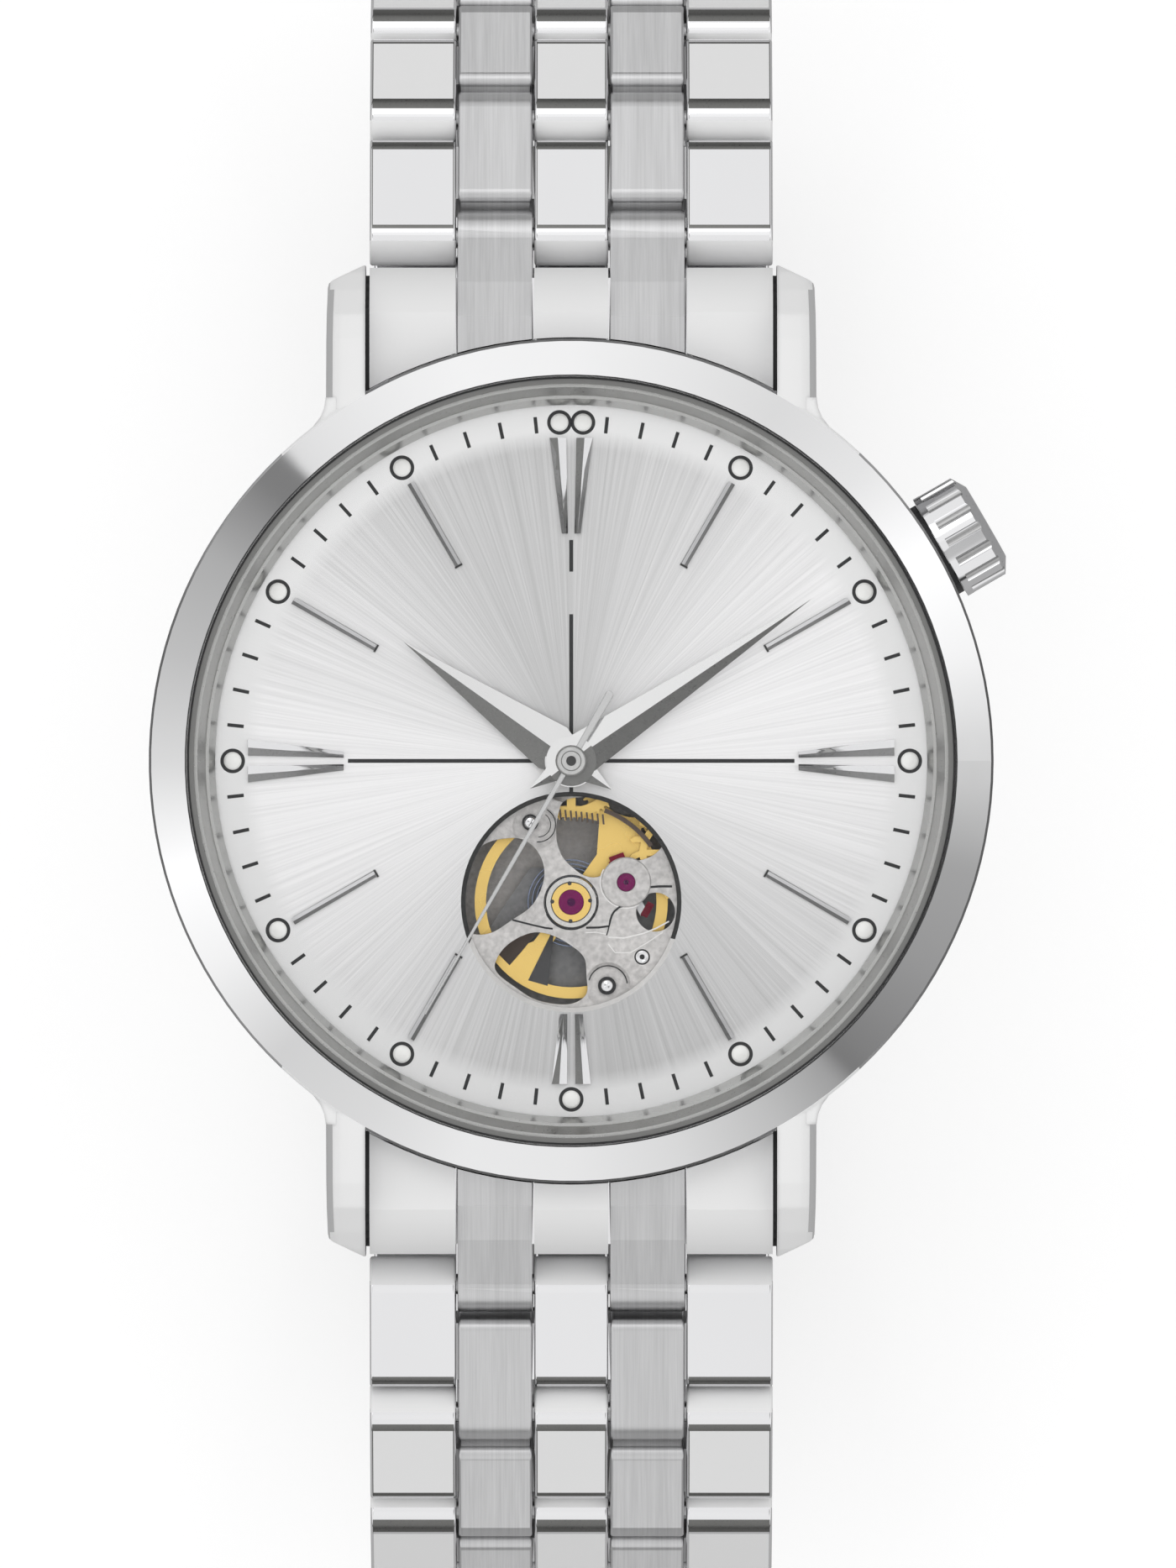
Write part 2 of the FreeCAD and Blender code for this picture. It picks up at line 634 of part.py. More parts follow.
plate = plate.cut(rod(S.barrel_radius + 0.3, S.bridge_high - 1, S.plate_low, *BARREL))
for outline in (WINDOW_TOP, WINDOW_LEFT, WINDOW_LOW):
    plate = plate.cut(smooth_prism(outline, S.plate_low - 1, S.plate_high + 1))
plate = plate.cut(rod(2.05, S.plate_high - 0.75, S.plate_high + 1))
plate = plate.cut(rod(1.85, S.plate_high - 0.75, S.plate_high + 1, *MINUTE_WHEEL))
plate = plate.cut(rod(0.5, S.plate_low - 1, S.plate_high + 1))
for place, radius in ((THIRD, 0.19), (FOURTH, 0.19), (ESCAPE, 0.19), (MINUTE_WHEEL, 0.24), (BARREL, 0.54)):
    plate = plate.cut(rod(radius, S.plate_low - 1, S.plate_high + 1, *place))
plate = plate.cut(rod(0.46, S.plate_low - 1, S.plate_high + 1, *PALLET))
plate = plate.cut(rod(1.28, S.plate_low - 1, S.plate_high + 1, *BALANCE))
plate = plate.cut(rod(0.95, S.plate_low - 1, S.plate_high + 1, 4.1, -7.35))
plate = plate.cut(rod(1.1, S.plate_high - 0.2, S.plate_high + 1, -1.75, -3.2))
plate = plate.cut(rod(1.1, S.plate_high - 0.2, S.plate_high + 1, 1.78, -10.9))
plate = plate.cut(along_crown(rod(0.75, S.plate_radius - 2.0, S.plate_radius + 1.0)))
head_part(feature("main_plate", plate))

stones = [
    rod(0.44, S.plate_low + 0.3, S.plate_high - 0.02, PALLET[0], PALLET[1], 0.12),
    rod(0.6, S.plate_high - 0.35, S.plate_high + 0.02, *BALANCE),
]
head_part(feature("movement_jewels", Part.makeCompound(stones)))
setting = rod(1.22, S.plate_low, S.plate_high, BALANCE[0], BALANCE[1], 0.62)
setting = setting.cut(rod(0.98, S.plate_high - 0.12, S.plate_high + 1, *BALANCE))
setting = setting.fuse(rod(0.95, S.plate_high - 0.3, S.plate_high + 0.05, BALANCE[0], BALANCE[1], 0.62))
head_part(feature("shock_setting", setting))

ring = rod(S.ring_outer_radius, 2.75, S.dial_low - S.fit_gap, bore=S.plate_radius + S.fit_gap)
ring = ring.cut(along_crown(rod(0.75, S.plate_radius - 1.0, S.ring_outer_radius + 1.0)))
head_part(feature("movement_ring", ring))

bridge = rod(S.plate_radius, S.bridge_low, S.bridge_high)
across = 2 * S.plate_radius + 4
bridge = bridge.cut(Part.makeBox(across, across, 3, Vector(-across / 2, -across - 2.6, S.bridge_low - 1)))
for place, radius in ((THIRD, 0.19), (FOURTH, 0.19), (BARREL, 0.54)):
    bridge = bridge.cut(rod(radius, S.bridge_low - 1, S.bridge_high + 1, *place))
bridge = bridge.cut(rod(0.24, S.bridge_low - 1, S.bridge_high + 1))
head_part(feature("train_bridge", bridge))
cock = rod(S.plate_radius, S.bridge_low, S.bridge_high)
cock = cock.common(prism([(-8.0, -14.0), (-2.0, -5.2), (2.0, -5.2), (6.9, -3.4), (9.0, -14.0)], 0, 9))
cock = cock.cut(Part.makeBox(across, across, 3, Vector(-across / 2, -2.55, S.bridge_low - 1)))
cock = cock.cut(rod(0.19, S.bridge_low - 1, S.bridge_high + 1, *BALANCE))
cock = cock.cut(rod(0.19, S.bridge_low - 1, S.bridge_high + 1, *ESCAPE))
head_part(feature("balance_cock", cock))

# The going train, phased from the centre wheel outwards.
TEETH = {"centre": 64, "third": 60, "fourth": 70, "barrel": 78, "escape": 15}
LEAVES = {"centre": 12, "third": 8, "sweep": 8, "fourth": 8, "escape": 7}
centre_rim = S.centre_wheel_radius - 0.59
centre = gear(TEETH["centre"], S.centre_wheel_radius, 6.1, 6.35, ring=centre_rim, spokes=4, bore=0.3)
centre = centre.fuse(gear(LEAVES["centre"], S.centre_pinion_radius, 5.2, 6.1, bore=0.26))
centre = centre.fuse(rod(0.42, 5.2, S.dial_high + 0.6, bore=SECOND_SHAFT + S.run_gap))
head_part(feature("centre_wheel", centre))

turn = mesh_turn(0.0, TEETH["centre"], line_between((0, 0), THIRD), LEAVES["third"])
third_turn = turn
third = gear(LEAVES["third"], S.third_pinion_radius, 6.0, 6.5, THIRD[0], THIRD[1], turn)
third_rim = S.third_wheel_radius - 0.62
third = third.fuse(gear(
    TEETH["third"], S.third_wheel_radius, 4.7, 4.95, THIRD[0], THIRD[1], turn, ring=third_rim, spokes=4))
third = third.fuse(rod(0.15, S.bridge_low + 0.1, S.plate_high - 0.3, *THIRD))
head_part(feature("third_wheel", third))

turn = mesh_turn(third_turn, TEETH["third"], line_between(THIRD, (0, 0)), LEAVES["sweep"])
sweep = gear(LEAVES["sweep"], S.third_pinion_radius, 4.55, 5.1, 0, 0, turn)
sweep = sweep.fuse(rod(SECOND_SHAFT, S.bridge_low + 0.1, S.dial_high + 1.4))
head_part(feature("sweep_pinion", sweep))

turn = mesh_turn(third_turn, TEETH["third"], line_between(THIRD, FOURTH), LEAVES["fourth"])
fourth_turn = turn
fourth = gear(LEAVES["fourth"], S.third_pinion_radius, 4.55, 5.2, FOURTH[0], FOURTH[1], turn)
fourth_rim = S.fourth_wheel_radius - 0.59
fourth = fourth.fuse(gear(
    TEETH["fourth"], S.fourth_wheel_radius, 5.3, 5.5, FOURTH[0], FOURTH[1], turn, ring=fourth_rim, spokes=4))
fourth = fourth.fuse(rod(0.15, S.bridge_low + 0.1, S.plate_high - 0.3, *FOURTH))
head_part(feature("fourth_wheel", fourth))

turn = mesh_turn(fourth_turn, TEETH["fourth"], line_between(FOURTH, ESCAPE), LEAVES["escape"])
escape = gear(LEAVES["escape"], S.escape_pinion_radius, 5.2, 5.8, 0, 0, turn)
club = []
for tooth in range(TEETH["escape"]):
    at = tooth * 360.0 / TEETH["escape"] + 9.0
    club.append(polar(S.escape_wheel_radius - 0.55, at))
    club.append(polar(S.escape_wheel_radius - 0.18, at + 5))
    club.append(polar(S.escape_wheel_radius, at + 11))
    club.append(polar(S.escape_wheel_radius - 0.1, at + 13.5))
    club.append(polar(S.escape_wheel_radius - 0.55, at + 10))
escape_rim = S.escape_wheel_radius - 0.9
wheel = prism(club, 6.5, 6.75).cut(rod(escape_rim, 6, 7))
wheel = wheel.multiFuse([rod(0.5, 6.5, 6.75)] + [
    Part.makeBox(2 * escape_rim + 0.2, 0.3, 0.25, Vector(-escape_rim - 0.1, -0.15, 6.5)),
    Part.makeBox(0.3, 2 * escape_rim + 0.2, 0.25, Vector(-0.15, -escape_rim - 0.1, 6.5)),
])
escape = escape.multiFuse([wheel, rod(0.15, S.bridge_low + 0.1, S.plate_high - 0.3)])
escape.translate(Vector(ESCAPE[0], ESCAPE[1], 0))
head_part(feature("escape_wheel", escape))

turn = mesh_turn(0.0, LEAVES["centre"], line_between((0, 0), BARREL), TEETH["barrel"])
barrel = gear(TEETH["barrel"], S.barrel_radius, 5.3, 5.9, 0, 0, turn)
drum = S.barrel_radius - 0.63
barrel = barrel.fuse(rod(drum, 4.6, 6.0))
barrel = barrel.cut(rod(drum - 0.3, 4.8, 5.8)).cut(rod(0.54, 4, 7))
barrel.translate(Vector(BARREL[0], BARREL[1], 0))
head_part(feature("barrel", barrel))
arbor = rod(0.5, S.bridge_low + 0.05, S.plate_high - 0.2, *BARREL)
arbor = arbor.fuse(rod(1.3, 4.85, 5.75, *BARREL))
head_part(feature("barrel_arbor", arbor))


def spiral_strip(inner, outer, turns, thick, low, high, x, y):
    """A flat coiled strip."""
    steps = int(turns * 24)
    out_edge = []
    in_edge = []
    for i in range(steps + 1):
        share = i / float(steps)
        radius = inner + (outer - inner) * share
        angle = 360.0 * turns * share
        out_edge.append(Vector(*polar(radius + thick / 2, angle), low))
        in_edge.append(Vector(*polar(radius - thick / 2, angle), low))
    first = Part.BSplineCurve()
    first.interpolate(out_edge)
    second = Part.BSplineCurve()
    second.interpolate(in_edge)
    edges = [
        first.toShape(),
        Part.LineSegment(out_edge[-1], in_edge[-1]).toShape(),
        second.toShape(),
        Part.LineSegment(in_edge[0], out_edge[0]).toShape(),
    ]
    shape = Part.Face(Part.Wire(Part.__sortEdges__(edges))).extrude(Vector(0, 0, high - low))
    shape.translate(Vector(x, y, 0))
    return shape


head_part(feature("mainspring", spiral_strip(1.42, drum - 0.45, 7, 0.16, 4.85, 5.75, *BARREL)))
head_part(feature("hairspring", spiral_strip(0.62, 2.2, 8, 0.05, 4.8, 5.1, *BALANCE)))

balance = rod(S.balance_radius, 5.4, 5.9, bore=S.balance_inner_radius)
arm_end = S.balance_inner_radius + 0.15
arm_wide = [(0.0, -0.32), (2.6, -0.4), (arm_end, -1.5), (arm_end, 1.5), (2.6, 0.4), (0.0, 0.32)]
for direction in (53.0, 235.0):
    arm = prism(arm_wide, 5.5, 5.8)
    arm.rotate(Vector(0, 0, 0), Vector(0, 0, 1), direction)
    balance = balance.fuse(arm)
balance = balance.multiFuse([rod(0.55, 4.8, 5.9), rod(0.8, 6.0, 6.25), rod(0.15, S.bridge_low + 0.1, 7.3)])
balance = balance.fuse(rod(0.3, 5.8, 6.1))
balance.translate(Vector(BALANCE[0], BALANCE[1], 0))
head_part(feature("balance_wheel", balance))

toward = line_between(PALLET, BALANCE)
fork = prism([(0.0, -0.3), (1.5, -0.16), (1.85, -0.3), (1.85, 0.3), (1.5, 0.16), (0.0, 0.3)], 6.45, 6.7)
fork.rotate(Vector(0, 0, 0), Vector(0, 0, 1), toward)
fork.translate(Vector(PALLET[0], PALLET[1], 0))
fork = fork.fuse(rod(0.42, 6.45, 6.7, *PALLET))
stones = []
for spot, along in (((1.98, -4.83), 20.0), ((3.57, -7.47), 60.0)):
    reach = math.hypot(spot[0] - PALLET[0], spot[1] - PALLET[1])
    bar = prism([(0, -0.22), (reach, -0.2), (reach, 0.2), (0, 0.22)], 6.45, 6.7)
    bar.rotate(Vector(0, 0, 0), Vector(0, 0, 1), line_between(PALLET, spot))
    bar.translate(Vector(PALLET[0], PALLET[1], 0))
    stone = Part.makeBox(0.75, 0.36, 0.3, Vector(-0.1, -0.18, 6.43))
    stone.rotate(Vector(0, 0, 0), Vector(0, 0, 1), along)
    stone.translate(Vector(spot[0], spot[1], 0))
    fork = fork.fuse(bar).cut(stone)
    stones.append(stone)
fork = fork.fuse(rod(0.1, 6.2, 7.75, *PALLET))
head_part(feature("pallet_fork", Part.makeCompound(fork.Solids + stones)))

cannon = rod(MINUTE_PIPE, 7.2, S.dial_high + 1.0, bore=0.44)
cannon = gear(12, 0.78, 7.2, 7.45, bore=0.44).fuse(cannon)
head_part(feature("cannon_pinion", cannon))
hour_pipe = gear(48, 1.6, 7.6, 7.85, bore=MINUTE_PIPE + S.run_gap)
hour_pipe = hour_pipe.fuse(rod(HOUR_PIPE, 7.6, S.dial_high + 0.63, bore=MINUTE_PIPE + S.run_gap))
head_part(feature("hour_wheel", hour_pipe))

web_out = S.rotor_radius - S.rotor_weight + 0.1
across = 2 * S.rotor_radius + 4
weight = rod(S.rotor_radius, S.rotor_low, S.rotor_high, bore=web_out - 0.1)
weight = weight.common(Part.makeBox(across, across / 2, 9, Vector(-across / 2, -across / 2, 0)))
web = rod(web_out, S.rotor_high - 0.5, S.rotor_high)
web = web.common(prism([
    (-web_out, 0), (-2.2, 1.6), (2.2, 1.6), (web_out, 0), (web_out, -web_out - 1), (-web_out, -web_out - 1),
], 0, 9))
rotor = weight.fuse(web).fuse(rod(2.3, S.rotor_low + 0.2, S.rotor_high))
rotor = rotor.cut(rod(1.3 + S.run_gap, 1, 4))
head_part(feature("rotor", rotor))
post = rod(1.3, S.rotor_low, S.bridge_low - S.fit_gap).fuse(rod(1.9, S.rotor_low - 0.3, S.rotor_low + 0.1))
post = post.fuse(rod(2.0, S.rotor_high + 0.1, S.bridge_low - S.fit_gap))
head_part(feature("rotor_bearing", post))

# ---------------------------------------------------------------- crown and stem
stem = rod(S.stem_radius, 10.4, S.crown_outer - 0.7)
stem = stem.fuse(rod(0.5, 8.9, 10.4))
head_part(feature("winding_stem", along_crown(stem)))
crown = rod(S.crown_radius, S.crown_inner, S.crown_outer - 0.45)
cone = Part.makeCone(S.crown_radius, S.crown_radius - 0.75, 0.45, Vector(0, 0, S.crown_outer - 0.45))
crown = crown.fuse(cone)
flutes = []
for index in range(int(S.crown_flutes)):
    x, y = polar(S.crown_radius + 0.12, index * 360.0 / S.crown_flutes)
    flutes.append(rod(0.3, S.crown_inner + 0.35, S.crown_outer + 1, x, y))
crown = crown.cut(Part.makeCompound(flutes))
crown = crown.cut(rod(S.tube_radius + 0.3, S.crown_inner - 1, S.crown_outer - 0.8))
crown = crown.cut(rod(S.stem_radius + 0.005, S.crown_inner - 1, S.crown_outer - 0.7))
head_part(feature("crown", along_crown(crown)))
seal = rod(S.tube_radius + 0.28, S.crown_inner + 0.1, S.crown_inner + 0.5, bore=S.tube_radius + S.run_gap)
head_part(feature("crown_gasket", along_crown(seal)))

# ---------------------------------------------------------------- case back
head_part(revolved("case_back", [
    ("back_window_radius", "0"),
    ("back_radius - 0.5", "0"),
    ("back_radius", "0.5"),
    ("back_radius", "case_low - fit_gap"),
    ("back_plug_radius", "case_low - fit_gap"),
    ("back_plug_radius", "2.7"),
    ("back_plug_radius - 1.2", "2.7"),
    ("back_plug_radius - 1.2", "1.0"),
    ("back_glass_radius + fit_gap", "1.0"),
    ("back_glass_radius + fit_gap", "0.25"),
    ("back_window_radius", "0.25"),
]))
head_part(revolved("back_glass", [
    ("0", "0.27"),
    ("back_glass_radius", "0.27"),
    ("back_glass_radius", "1.0"),
    ("0", "1.0"),
]))

# ---------------------------------------------------------------- end links and spring bars
half_centre = S.link_centre_half
brushed_in = half_centre + S.link_seam
brushed_out = brushed_in + S.link_brushed
outer_in = brushed_out + S.link_seam
outer_out = outer_in + S.link_outer


def across_blocks(section, spans):
    """Copies of a section, drawn in (along, up) and run across the bracelet."""
    blocks = []
    for low, high in spans:
        block = section.extrude(Vector(high - low, 0, 0))
        block.translate(Vector(low, 0, 0))
        blocks.append(block)
    return blocks


def section_face(edges):
    return Part.Face(Part.Wire(Part.__sortEdges__(edges)))


def yz(y, z):
    return Vector(0, y, z)


def straight(a, b):
    return Part.LineSegment(yz(*a), yz(*b)).toShape()


def bend(a, b, c):
    return Part.Arc(yz(*a), yz(*b), yz(*c)).toShape()


POLISHED_SPANS = [(-outer_out, -outer_in), (-half_centre, half_centre), (outer_in, outer_out)]
BRUSHED_SPANS = [(-brushed_out, -brushed_in), (brushed_in, brushed_out)]
half = S.link_half_thick
curl = 0.9
polished = section_face([
    bend((0, half), (-half, 0), (0, -half)),
    straight((0, -half), (S.link_end - 0.3, -half)),
    bend((S.link_end - 0.3, -half), (S.link_end - 0.088, -half + 0.088), (S.link_end, -half + 0.3)),
    straight((S.link_end, -half + 0.3), (S.link_end, half - curl)),
    bend((S.link_end, half - curl), (S.link_end - 0.293 * curl, half - 0.293 * curl), (S.link_end - curl, half)),
    straight((S.link_end - curl, half), (0, half)),
])
far = S.link_pitch
near = S.link_start
brushed = section_face([
    bend((far, half), (far + half, 0), (far, -half)),
    straight((far, -half), (near + 0.3, -half)),
    bend((near + 0.3, -half), (near + 0.088, -half + 0.088), (near, -half + 0.3)),
    straight((near, -half + 0.3), (near, half - 0.5)),
    bend((near, half - 0.5), (near + 0.146, half - 0.146), (near + 0.5, half)),
    straight((near + 0.5, half), (far, half)),
])


def across_rod(radius, half_length, y=0.0, z=0.0):
    """A round bar across the bracelet."""
    bar = Part.makeCylinder(radius, 2 * half_length, Vector(-half_length, y, z), Vector(1, 0, 0))
    return bar


def soften(shape, size):
    """Rounds the long edges at the outer ends of the segments."""
    chosen = []
    for edge in shape.Edges:
        box = edge.BoundBox
        if box.XLength < 0.001 and box.YLength > 1.0 and abs(box.ZMin - box.ZMax) < 0.001:
            chosen.append(edge)
    return shape.makeFillet(size, chosen)


link_blocks = [soften(b, 0.15) for b in across_blocks(polished, POLISHED_SPANS)]
link_blocks += [soften(b, 0.12) for b in across_blocks(brushed, BRUSHED_SPANS)]
core_start = near + 0.25
core_end = S.link_end - 0.45
core = Part.makeBox(2 * outer_out - 1.6, core_end - core_start, 1.9, Vector(-outer_out + 0.8, core_start, -1.1))
link_solid = link_blocks[0].multiFuse(link_blocks[1:] + [core])
link_solid = link_solid.cut(across_rod(S.pin_radius + 0.005, outer_out - 0.3))
link_solid = link_solid.cut(across_rod(S.pin_radius + S.run_gap, outer_out, S.link_pitch))
link_pin = across_rod(S.pin_radius, outer_out - 0.35)
link_template = feature("link_template", link_solid)
pin_template = feature("pin_template", link_pin)
# The bar of the pivot that is left open stays in the last link of the six side.
open_bar = feature("open_bar", across_rod(S.pin_radius, outer_out - 0.6, S.link_pitch))


PIVOTS = {}


def chain(side, dips):
    """The links from the case down to the clasp; side is 1 at twelve o'clock, -1 at six."""
    y = S.end_reach
    z = S.case_lift + S.end_height
    for index, dip in enumerate(dips, 1):
        pieces = [link_template, pin_template]
        if side < 0 and index == len(dips):
            pieces.append(open_bar)
        link = joined("Compound", "link_%s_%d" % ("12" if side > 0 else "6", index), pieces)
        tilt = FreeCAD.Rotation(Vector(1, 0, 0), -dip)
        turn_round = FreeCAD.Rotation(Vector(0, 0, 1), 0 if side > 0 else 180)
        link.Placement = FreeCAD.Placement(Vector(0, side * y, z), turn_round.multiply(tilt))
        fixed_part(link)
        PIVOTS[link.Label] = (round(side * y, 4), round(z, 4))
        y += S.link_pitch * math.cos(math.radians(dip))
        z -= S.link_pitch * math.sin(math.radians(dip))
    return side * y, z


end_12 = chain(1, DIPS_12)
end_6 = chain(-1, DIPS_6)
print("chain ends", end_12, end_6)
print("pivots", PIVOTS)
print("wheels", THIRD, FOURTH, ESCAPE, BARREL)

end_reach = S.end_reach
end_z = S.end_height
inner = S.case_radius + 0.08
end_root = S.case_radius - 5.5
end_half = S.lug_gap_half - S.end_side_gap
# The end link is drawn at twelve o'clock; its section falls from the case to the first pivot.
tongue_section = section_face([
    bend((end_reach, end_z + half), (end_reach + half, end_z), (end_reach, end_z - half)),
    straight((end_reach, end_z - half), (end_root, end_z - half + 0.2)),
    straight((end_root, end_z - half + 0.2), (end_root, 9.3)),
    straight((end_root, 9.3), (end_reach - 3.9, 9.1)),
    straight((end_reach - 3.9, 9.1), (end_reach - 2.2, 7.6)),
    straight((end_reach - 2.2, 7.6), (end_reach - 0.4, end_z + half + 0.6)),
    straight((end_reach - 0.4, end_z + half + 0.6), (end_reach, end_z + half)),
])
shoulder_section = section_face([
    straight((end_root, end_z - half + 0.2), (end_root, 9.5)),
    straight((end_root, 9.5), (end_reach - 3.7, 9.3)),
    bend((end_reach - 3.7, 9.3), (end_reach - 2.4, 8.2), (end_reach - 1.5, 6.2)),
    straight((end_reach - 1.5, 6.2), (end_reach - half - 0.15, end_z)),
    straight((end_reach - half - 0.15, end_z), (end_reach - 2.1, end_z - half + 0.1)),
    straight((end_reach - 2.1, end_z - half + 0.1), (end_root, end_z - half + 0.2)),
])
end_parts = across_blocks(
    shoulder_section, [(-end_half, -outer_in), (-half_centre, half_centre), (outer_in, end_half)])
end_parts += across_blocks(tongue_section, BRUSHED_SPANS)
end_core = Part.makeBox(
    2 * end_half - 1.2, end_reach - 2.0 - end_root, 4.6, Vector(-end_half + 0.6, end_root, end_z + 0.2 - 1.0))
end_solid = end_parts[0].multiFuse(end_parts[1:] + [end_core])
end_solid = end_solid.cut(rod(inner, -2, 20))
end_solid = end_solid.cut(across_rod(S.bar_radius + S.fit_gap, 12, S.bar_reach, S.bar_height))
end_solid = end_solid.cut(across_rod(S.pin_radius + S.run_gap, 12, end_reach, end_z))
for side, label in ((1, "end_link_12"), (-1, "end_link_6")):
    shape = end_solid.copy()
    if side < 0:
        shape.rotate(Vector(0, 0, 0), Vector(0, 0, 1), 180)
    head_part(feature(label, shape))
bars = []
for side in (1, -1):
    body_bar = across_rod(S.bar_radius, S.lug_gap_half - 0.1, side * S.bar_reach, S.bar_height)
    tip_bar = across_rod(S.bar_tip_radius, S.lug_gap_half + 0.85, side * S.bar_reach, S.bar_height)
    bars.append(body_bar.fuse(tip_bar))
head_part(feature("spring_bars", Part.makeCompound(bars)))

# ---------------------------------------------------------------- clasp
wide = S.clasp_half_width
wall = S.clasp_plate
y12, top = end_12
y6, top_6 = end_6
cover_end = y12 + 0.46
cover_start = cover_end - S.clasp_length
HINGE_B = (cover_start + 0.8, 2.75)
HINGE_C = (HINGE_B[0] + S.blade_length, 3.3)
BUTTON = (cover_end - 10.0, 2.7)
print("clasp pivots", HINGE_B, HINGE_C)
cover = Part.makeBox(2 * wide, S.clasp_length, wall, Vector(-wide, cover_start, 0))
wall_section = section_face([
    straight((cover_start, 0.5), (cover_start, 2.9)),
    straight((cover_start, 2.9), (cover_start + 1.0, 4.3)),
    straight((cover_start + 1.0, 4.3), (y12, top + 1.3)),
    bend((y12, top + 1.3), (y12 + 1.25, top + 0.05), (y12 + 0.5, top - 1.1)),
    straight((y12 + 0.5, top - 1.1), (cover_end, 0.5)),
    straight((cover_end, 0.5), (cover_start, 0.5)),
])
long_edges = []
for edge in cover.Edges:
    box = edge.BoundBox
    if box.YLength > S.clasp_length - 0.1 and box.ZMax < 0.001:
        long_edges.append(edge)
cover = cover.makeFillet(0.45, long_edges)
cover = cover.multiFuse(across_blocks(wall_section, [(-wide, -wide + wall), (wide - wall, wide)]))
cover = cover.cut(across_rod(S.pin_radius + 0.005, wide - 0.3, y12, top))
cover = cover.cut(across_rod(S.pin_radius + 0.005, wide - 0.3, *HINGE_B))
for side in (1, -1):
    hole_start = Vector(side * wide - 1.5, BUTTON[0], BUTTON[1])
    cover = cover.cut(Part.makeCylinder(1.5 + S.run_gap, 3.0, hole_start, Vector(1, 0, 0)))
pins = [across_rod(S.pin_radius, wide - 0.35, y12, top), across_rod(S.pin_radius, wide - 0.35, *HINGE_B)]
fixed_part(feature("clasp_cover", Part.makeCompound(cover.Solids + pins)))

BLADE_HALF = 6.5
blade = Part.makeBox(2 * BLADE_HALF, S.blade_length, 0.8, Vector(-BLADE_HALF, HINGE_B[0], 1.7))
blade = blade.fuse(across_rod(1.05, BLADE_HALF, *HINGE_B))
blade = blade.fuse(across_rod(1.05, BLADE_HALF, *HINGE_C))
blade = blade.fuse(Part.makeBox(2 * BLADE_HALF, 2.1, 1.0, Vector(-BLADE_HALF, HINGE_C[0] - 1.05, 1.9)))
blade = blade.cut(Part.makeBox(7.0, 6.0, 4.0, Vector(-3.5, HINGE_C[0] - 1.4, 1.0)))
blade = blade.cut(Part.makeBox(5.0, S.blade_length - 11.0, 4.0, Vector(-2.5, HINGE_B[0] + 5.4, 0)))
blade = blade.cut(across_rod(S.pin_radius + S.run_gap, 12, *HINGE_B))
blade = blade.cut(across_rod(S.pin_radius + 0.005, 12, *HINGE_C))
blade_pin = across_rod(S.pin_radius, BLADE_HALF - 0.2, *HINGE_C)
fixed_part(feature("clasp_long_blade", Part.makeCompound(blade.Solids + [blade_pin])))

# The short blade ends in a nose beside the last link of the six side, clear of its round end.
nose_start = y6 + half + 0.2
short_end = HINGE_C[0] - 1.4
short = Part.makeBox(2 * BLADE_HALF, short_end - nose_start, 0.8, Vector(-BLADE_HALF, nose_start, 3.95))
short = short.fuse(Part.makeBox(6.8, 3.0, 0.8, Vector(-3.4, HINGE_C[0] - 3.0, 3.95)))
short = short.fuse(across_rod(1.05, 3.4, *HINGE_C))
nose_half = outer_out - 0.85
short = short.fuse(Part.makeBox(2 * nose_half, 2.6, 2.0, Vector(-nose_half, nose_start, 2.75)))
nose_spans = [
    (-nose_half, -outer_in - 0.1),
    (-half_centre + 0.1, half_centre - 0.1),
    (outer_in + 0.1, nose_half),
]
for low, high in nose_spans:
    short = short.fuse(Part.makeBox(high - low, 1.4, 1.8, Vector(low, y6 + S.pin_radius + 0.12, top_6 - 1.0)))
short = short.cut(Part.makeBox(5.0, short_end - nose_start - 17.2, 4.0, Vector(-2.5, nose_start + 9.6, 3)))
short = short.cut(across_rod(S.pin_radius + S.run_gap, 12, *HINGE_C))
fixed_part(feature("clasp_short_blade", short))
for side, label in ((-1, "clasp_button_left"), (1, "clasp_button_right")):
    button_start = Vector(side * (wide - 1.05), BUTTON[0], BUTTON[1])
    fixed_part(feature(label, Part.makeCylinder(1.5, 1.4, button_start, Vector(side, 0, 0))))

# ---------------------------------------------------------------- checks and export
doc.recompute()
broken = [item.Name for item in doc.Objects if "Invalid" in item.State or "Error" in item.State]
if broken:
    raise RuntimeError("broken objects: " + ", ".join(broken))
for item in PARTS:
    shape = item.Shape
    if shape.isNull() or not shape.isValid() or not shape.Solids:
        raise RuntimeError("bad shape: " + item.Label)
for item in PARTS:
    item.Shape.exportStep("parts/%s.step" % item.Label)
print(len(PARTS), "parts")
print(", ".join("%s:%d" % (item.Label, len(item.Shape.Solids)) for item in PARTS))
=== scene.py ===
import json
import math

